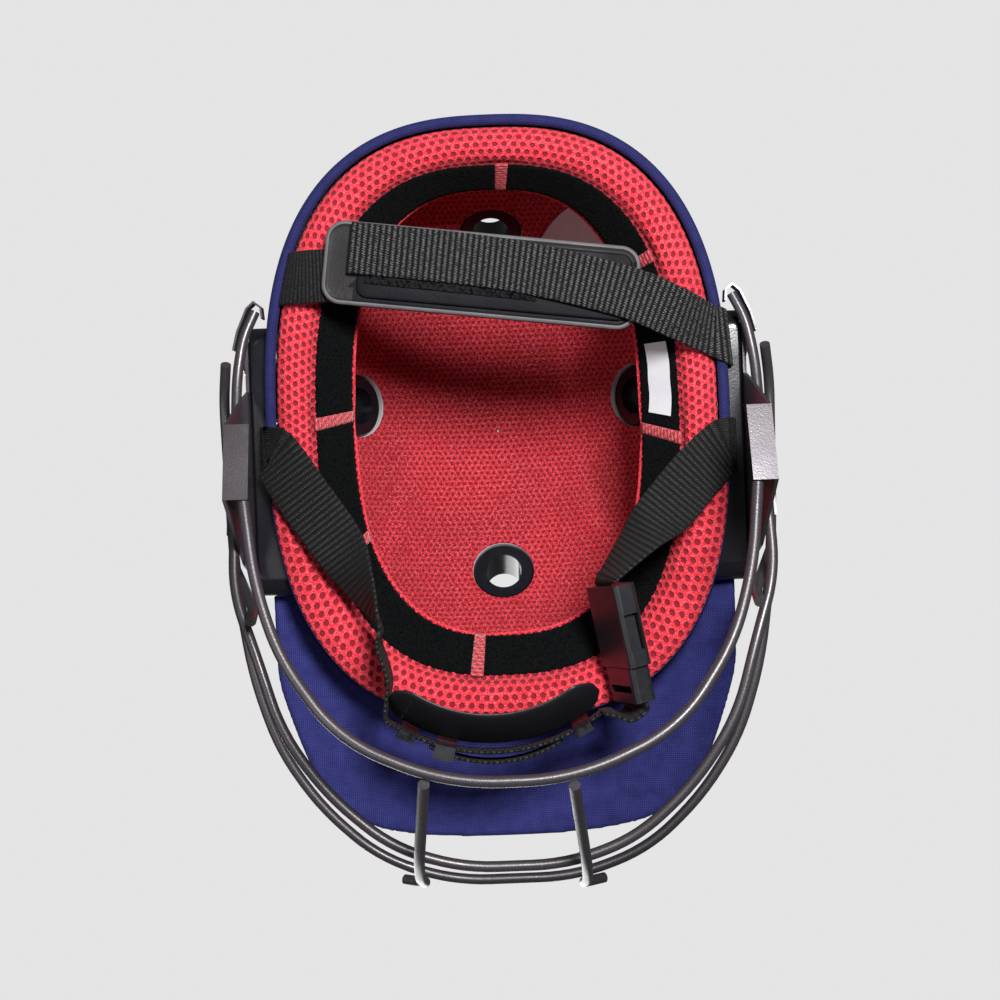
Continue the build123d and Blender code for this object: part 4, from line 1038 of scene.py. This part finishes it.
# %% The lines of the chin strap
webbing_width, webbing_thickness = 25.0, 1.6
cup_x, cup_y, cup_radius, cup_level = 6.5, -31.0, 79.2, -23.5
tail_gap, tail_bulge = 1.7, 2.6
on_edge = (0.0, 0.0, 1.0)


def over_rim(sign, y):
    """Lines where a strap comes down outside the shell and turns in under the piping."""
    places = ((107.6, y, 3.5), (107.6, y, -0.8), (104.75, y, -3.5), (101.0, y - 1.25, -4.9))
    return [((sign * x, along, level), (0, -1, 0)) for x, along, level in places]


def shares(rows):
    """Lines from shares of the rim's half width."""
    return [(Vector(row[:3]) * rim_half, row[3:]) for row in rows]


def cup_line(angle, radius=cup_radius):
    """A line across the strap at an angle round the cup. Its upper edge leans in."""
    across, along = math.sin(math.radians(angle)), math.cos(math.radians(angle))
    return (cup_x + radius * across, cup_y - radius * along, cup_level), (across * 0.12, along * -0.12, 1)


buckle_turn, buckle_tilt = math.radians(10.1), math.radians(20)
buckle_middle = Vector((-49.4, -57.0, -22.0))
buckle_ahead = Vector((-math.sin(buckle_turn), -math.cos(buckle_turn), 0))
buckle_flat = Vector((-math.cos(buckle_turn), math.sin(buckle_turn), 0))
buckle_wide = buckle_flat * math.sin(buckle_tilt) - Vector((0, 0, 1)) * math.cos(buckle_tilt)

chin_lines = {
    "left": over_rim(1, 25.0) + shares((
        (0.842, 0.054, -0.085, 0.48, -0.877, 0.0),
        (0.691, -0.165, -0.132, 0.407, -0.91, 0.082),
        (0.592, -0.349, -0.179, 0.392, -0.553, 0.737),
        (0.521, -0.495, -0.22, 0.062, -0.042, 1.0),
        (0.530, -0.573, -0.222, *on_edge),
        (0.507, -0.653, -0.222, *on_edge),
        (0.490, -0.732, -0.222, *on_edge),
        (0.500, -0.800, -0.222, *on_edge),
    )) + [cup_line(37.0), cup_line(33.0)],
    "right": over_rim(-1, 21.0) + shares((
        (-0.836, 0.082, -0.09, -0.449, -0.893, -0.042),
        (-0.71, -0.051, -0.142, -0.467, -0.841, -0.295),
        (-0.571, -0.184, -0.198, -0.393, -0.393, -0.786),
    )) + [(buckle_middle - buckle_ahead * back, buckle_wide) for back in (21.4, 18.2)],
    "front": [cup_line(-36.0 + 68.8 * step / 16) for step in range(17)],
    "tail": [
        cup_line(-21 + 42 * step / 10, cup_radius + tail_gap + tail_bulge * math.sin(math.pi * step / 10))
        for step in range(11)
    ],
}
print("chin strap:", {run: len(lines) for run, lines in chin_lines.items()}, "lines")

# %% The chin strap
for run, lines in chin_lines.items():
    piece = strap(f"chin_strap_{run}_web", lines, webbing_width, webbing_thickness, black_webbing)
    settle(piece, "webbing", f"chin_strap_{run}")

# %% [markdown]
# The short end between the cup and the buckle's plug has to bend when the buckle is released.

# %% The short end
end_lines = [cup_line(-36.2)]
end_lines += shares(((-0.431, -0.9, -0.219, 0.08, 0, 1.0), (-0.484, -0.92, -0.215, 0.17, 0, 1.0)))
end_lines += [(buckle_middle + buckle_ahead * ahead, -buckle_wide) for ahead in (37.3, 34.1)]
chin_end = strap("chin_strap_end_web", end_lines, webbing_width, webbing_thickness, black_webbing, 0.8)
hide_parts("chin_strap_end")
tuple(stand(end_lines[0][0]))
tuple(stand(end_lines[-1][0]))
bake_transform(chin_end)

# %% [markdown]
# The chin cup is a soft crescent of coated foam: thick in the middle, thin at its rounded ends, and
# wider at its upper edge. Rounded edges and a slight belly show that it is padded.

# %% The chin cup
cup_rows, cup_steps, cup_sides = [], 90, 28
cup_reach, cup_tall, cup_thick, cup_lean = 41.0, 22.0, 3.0, 15.0
cup_middle_radius, cup_middle_level = 67.5, -35.0
tip_start = 0.8
for step in range(cup_steps + 1):
    share = -1 + 2 * step / cup_steps
    angle = math.radians(cup_reach * share)
    tip = max(0.0, (abs(share) - tip_start) / (1 - tip_start))
    tall, thick = cup_tall * (1 - tip ** 2.4 * 0.72), cup_thick * (1 - 0.45 * tip ** 2)
    ring = []
    for turn in turns_round(cup_sides):
        across, up = squared_off(math.cos(turn), 0.45), squared_off(math.sin(turn), 0.55)
        raised = up * tall / 2
        belly = across * thick / 2 * (0.9 + 0.1 * math.cos(math.pi * up))
        radius = cup_middle_radius + raised / cup_tall * cup_lean + belly
        level = cup_middle_level + raised
        ring.append(Vector((cup_x + radius * math.sin(angle), cup_y - radius * math.cos(angle), level)))
    cup_rows.append(ring)
cup_runs = runs([row[0] for row in cup_rows])
chin_cup = skin(
    "chin_cup_pad", cup_rows, lambda r, c: (cup_runs[r], c * 0.0018), cup_skin, ring=True, ends=True
)
settle(chin_cup, "soft_pu", "chin_cup", body="chin_cup")

# %% [markdown]
# The neck strap lies under the back of the head: a coated pad with a raised lip, a black panel with
# hook tape on it, the ribbed webbing over that, and a short elastic at the left. The pad is a rounded
# rectangle that sags gently, and its lip is a bead round the edge in a paler colour, partly the paler
# cut edge and partly a painted highlight. The part of its lower face beside the panel is black too.

# %% The neck pad
neck_middle, neck_turn, neck_sag = Vector((5.0, 101.0, 0.0)), math.radians(7.5), 0.35
neck_along = Vector((math.cos(neck_turn), math.sin(neck_turn), 0))
neck_across = Vector((-math.sin(neck_turn), math.cos(neck_turn), 0))
pad_size, panel_size, panel_shift = (142, 38, 9), (122, 30, 5), -6.0
corner_steps, side_steps = 10, (44, 12)


def rounded_outline(length, width, corner):
    """Evenly divided outline of a rounded rectangle: an arc at each corner and a straight after it."""
    arcs, points = [], []
    for number, (side_x, side_y) in enumerate(((1, 1), (-1, 1), (-1, -1), (1, -1))):
        x, y = (length / 2 - corner) * side_x, (width / 2 - corner) * side_y
        turns = [math.radians(90 * (number + step / corner_steps)) for step in range(corner_steps + 1)]
        arcs.append([Vector((x + corner * math.cos(turn), y + corner * math.sin(turn))) for turn in turns])
    for number, arc in enumerate(arcs):
        steps, goal = side_steps[number % 2], arcs[(number + 1) % 4][0]
        points += arc[:-1] + [arc[-1].lerp(goal, step / steps) for step in range(steps)]
    return points


def soft_plate(name, size, profile, finish, shift=0.0):
    """A rounded plate made of outlines; the profile gives each one's inset and level."""
    (length, width, corner), rows = size, []
    for inset, level in profile:
        row = []
        for along, across in rounded_outline(length - 2 * inset, width - 2 * inset, max(0.6, corner - inset)):
            along += shift
            sunk = Vector((0, 0, level - neck_sag * math.cos(along / pad_size[0] * math.pi)))
            row.append(neck_middle + neck_along * along + neck_across * across + sunk)
        rows.append(row)

    def place(r, c):
        return tuple((rows[r][c % len(rows[r])].xy - neck_middle.xy) / 1000)

    return skin(name, rows, place, finish, ring=True, ends=True)


pad_profile = (
    (18.5, -9.6), (12, -9.4), (5, -9.3), (1.6, -9.5), (0.4, -10.1), (0.0, -11.2), (0.25, -12.3),
    (0.9, -12.95), (1.8, -13.05), (2.5, -12.6), (3.4, -12.45), (8, -12.75), (14, -12.85), (18.5, -12.9),
)
lip_rows = (6, 8)
neck_pad = soft_plate("neck_pad_skin", pad_size, pad_profile, pad_skin)
neck_pad.data.materials.append(pad_lip_with_highlight)
neck_pad.data.materials.append(panel_skin)
columns = len(rounded_outline(*pad_size))
# The lip rows get the paler finish: partly the cut edge, partly a painted highlight.
for face in neck_pad.data.polygons[lip_rows[0] * columns:lip_rows[1] * columns]:
    face.material_index = 1
for face in neck_pad.data.polygons[lip_rows[1] * columns:]:
    offset = face.center - stand(neck_middle)
    if offset.dot(to_back) < 0.003 and offset.dot(to_left) < 0.057:
        face.material_index = 2
settle(neck_pad, "soft_pu", "neck_pad")

# %% The panel under the pad and its hook tape
panel_profile = (
    (14.5, -12.95), (6, -12.95), (1.0, -12.95), (0.2, -13.2), (0.0, -13.6),
    (0.3, -14.0), (1.0, -14.15), (6, -14.15), (14.5, -14.15),
)
neck_panel = soft_plate("neck_panel_skin", panel_size, panel_profile, panel_skin, panel_shift)
settle(neck_panel, "soft_pu", "neck_panel")


def level_lines(rows):
    """Lines of a strap that lies level: shares of the rim's half width, a turn and a level."""
    lines = []
    for x, y, turn, level in rows:
        across = Vector((-math.sin(math.radians(turn)), math.cos(math.radians(turn)), 0))
        lines.append(((x * rim_half, y * rim_half, level), across))
    return lines


hook_lines = level_lines((
    (0.524, 1.026, 188, -14.85), (0.034, 0.955, 188, -14.85), (-0.193, 0.922, 190, -14.85),
))
hook_tape = strap("neck_hook_tape_pile", hook_lines, 20.0, 1.0, hook_pile)
settle(hook_tape, "loop_tape", "neck_hook_tape")

# %% [markdown]
# The neck webbing crosses the band aslant and goes in behind the piping. Its far lines are longer than
# its width, because they cut it aslant. A line of pale stitches holds it to the shell's edge.

# %% The neck webbing and its elastic
web_lines = level_lines((
    (0.594, 1.085, 188, -16.2), (-0.038, 0.991, 189, -16.2), (-0.528, 0.863, 198, -16.2),
    (-0.755, 0.769, 203, -12.96), (-0.915, 0.698, 190, -4.55), (-0.967, 0.676, 176, -3.5),
    (-0.998, 0.663, 176, -2.31), (-1.009, 0.658, 176, 1.785),
))
slant = 1 / math.cos(math.radians(203 - 176))
web_lines = web_lines[:5] + [(middle, across * slant) for middle, across in web_lines[5:]]
neck_web = strap("neck_webbing_web", web_lines, 23.0, 1.6, neck_yarn, slanted=True)
settle(neck_web, "webbing", "neck_webbing")
stitch_rows, stitch_steps, stitch_length = [], 48, 20
stitch_middle, stitch_way = Vector((-92.0, 74.5, -6.2)), Vector((-0.12, 0.993, 0))
for step in range(stitch_steps + 1):
    here = stitch_middle + stitch_way * (step / stitch_steps - 0.5) * stitch_length
    here.z -= 0.45 * abs(math.sin(step * math.pi / 4))
    stitch_rows.append([
        here + Vector((math.cos(turn) * 0.45, 0, math.sin(turn) * 0.4)) for turn in turns_round(8)
    ])
neck_stitches = skin(
    "neck_stitches_thread", stitch_rows, lambda r, c: (r * 0.0004, c * 0.0004), stitch_thread,
    ring=True, ends=True,
)
settle(neck_stitches, "webbing")
elastic_lines = [((x, 104.0, level), (aslant, 1, 0)) for x, level, aslant in (
    (62.0, -8.5, 0), (80.0, -8.3, 0), (88.5, -6.2, -0.12),
    (93.0, -3.6, -0.22), (94.6, -1.0, -0.22), (95.2, 2.5, -0.22),
)]
neck_elastic = strap("neck_elastic_web", elastic_lines, 24.0, 1.6, black_elastic, slanted=True)
settle(neck_elastic, "webbing", "neck_elastic")

# %% [markdown]
# Two blank labels are sewn in: a satin ribbon over the loop tape, and a larger one on the lining at the
# back. Cloth labels lift a little at their free edges.

# %% The labels


def label_patch(name, rows):
    """A thin satin patch over rows of level points."""
    across = runs([row[0] for row in rows])
    along = runs(list(rows[0]))
    print(name, "is", round(across[-1] * 1000, 1), "by", round(along[-1] * 1000, 1), "mm flat")
    return skin(name, rows, lambda r, c: (along[c], across[r]), label_satin)


ribbon_ring, ribbon_length, ribbon_lift = slope(14.0, 1.9, fine_steps), 34, 1.95
ribbon_start = min(range(fine_steps), key=lambda i: math.dist(ribbon_ring[i], (-80.0, 71.0)))
ribbon_rows = []
for step in range(9):
    row = []
    for column in range(31):
        place = (ribbon_start + column * ribbon_length / 30 / (slope_length * 1000) * fine_steps) / fine_steps
        lift = ribbon_lift + 0.5 * (abs(column - 15) / 15) ** 6 + 0.12 * math.sin(column * 0.5)
        row.append(slope_point(place % 1, 6.0 + 9.6 * step / 8, lift))
    ribbon_rows.append(row)
ribbon = label_patch("ribbon_label_satin", ribbon_rows)
settle(ribbon, "label_satin", "ribbon_label")

label_inset, label_width, label_start, label_lean, label_rows = 23.7, 32.0, -35.6, 0.6, []
grow, rise = grown(widest, label_inset), dome_top - widest - label_inset
for step in range(15):
    level = 60.0 + 32.0 * step / 14
    narrow = math.sqrt(1 - ((level - widest) / rise) ** 2)
    half, reach = (rim_half + grow) * narrow, (rim_reach + grow) * narrow
    start = label_start + (level - 68) * label_lean
    row = []
    for column in range(21):
        x = start - label_width * column / 20
        y = middle_y + reach * (1 - (abs(x) / half) ** squareness) ** (1 / squareness)
        row.append(Vector((x, y - 0.5 * max(0.0, (step - 11) / 3) ** 2, level)))
    label_rows.append(row)
crown_label = label_patch("crown_label_satin", label_rows)
settle(crown_label, "label_satin", "crown_label")

# %% [markdown]
# The stage is a pale floor under the helmet. The camera looks up from below it, so the floor is only
# there from above: its underside lets everything through. It takes part in no shadow and no reflected
# light, so that the helmet is lit alike from all sides. The world is a plain pale grey to the camera,
# and a much weaker light on the helmet.

# %% Floor and world


def either(choice, first, second, output):
    """Use the first shader where the choice is nothing and the second where it is one."""
    node = choice.new_node("MixShader")
    for value, socket in zip((choice, Wire(first.outputs[0]), Wire(second.outputs[0])), node.inputs):
        join(value, socket)
    join(Wire(node.outputs[0]), output.inputs[0])


floor_finish, inputs, _, place = finish_of("pale_floor", Roughness=0.9)
join(mix(noise(place, 300, 3.0), (0.9, 0.9, 0.9), (0.93, 0.93, 0.93)), inputs["Base Color"])
nodes = floor_finish.node_tree.nodes
under_side = wires(nodes.new("ShaderNodeNewGeometry"))["Backfacing"]
clear = nodes.new("ShaderNodeBsdfTransparent")
either(under_side, nodes["Principled BSDF"], clear, nodes["Material Output"])
floor_mesh = bpy.data.meshes.new("pale_floor")
floor_mesh.from_pydata([(-3, -3, 0), (3, -3, 0), (3, 3, 0), (-3, 3, 0)], [], [(0, 1, 2, 3)])
floor_mesh.materials.append(floor_finish)
floor = show("pale_floor", floor_mesh)
floor.visible_shadow = floor.visible_diffuse = floor.visible_glossy = False

world = bpy.data.worlds.new("pale_world")
world.use_nodes = True
nodes = world.node_tree.nodes
seen, felt = nodes["Background"], nodes.new("ShaderNodeBackground")
seen.inputs[0].default_value, seen.inputs[1].default_value = (0.78, 0.78, 0.78, 1), 1.0
felt.inputs[0].default_value, felt.inputs[1].default_value = (0.8, 0.82, 0.86, 1), 0.11
either(wires(nodes.new("ShaderNodeLightPath"))["Is Camera Ray"], felt, seen, nodes["World Output"])
bpy.context.scene.world = world
bpy.context.scene.view_settings.view_transform = "Standard"
print("floor and world ready")

# %% [markdown]
# A small strong lamp beyond the back of the helmet throws the hard shadows of the photograph, and a
# large weak one fills from the other side. A soft sun lights the helmet's outside.

# %% Lamps


def lamp(name, place, target, width, height, power):
    """A rectangular lamp at a level place, facing a level target."""
    data = bpy.data.lights.new(name, "AREA")
    data.shape, data.size, data.size_y, data.energy = "RECTANGLE", width, height, power
    body = show(name, data)
    facing = (stand(place) - stand(target)).to_track_quat("Z", "Y")
    body.matrix_world = Matrix.Translation(stand(place)) @ facing.to_matrix().to_4x4()
    body.visible_camera = False


lamp("key_from_picture_top_right", (-170, 290, -760), (0, 20, 20), 0.2, 0.2, 12.5)
lamp("fill_from_picture_left", (520, -60, -560), (0, 20, 20), 0.5, 0.7, 1.3)
sun_data = bpy.data.lights.new("even_light_from_above", "SUN")
sun_data.energy, sun_data.angle = 1.2, math.radians(40)
show("even_light_from_above", sun_data).rotation_euler = (math.radians(18), math.radians(14), 0)
print("lamps ready")
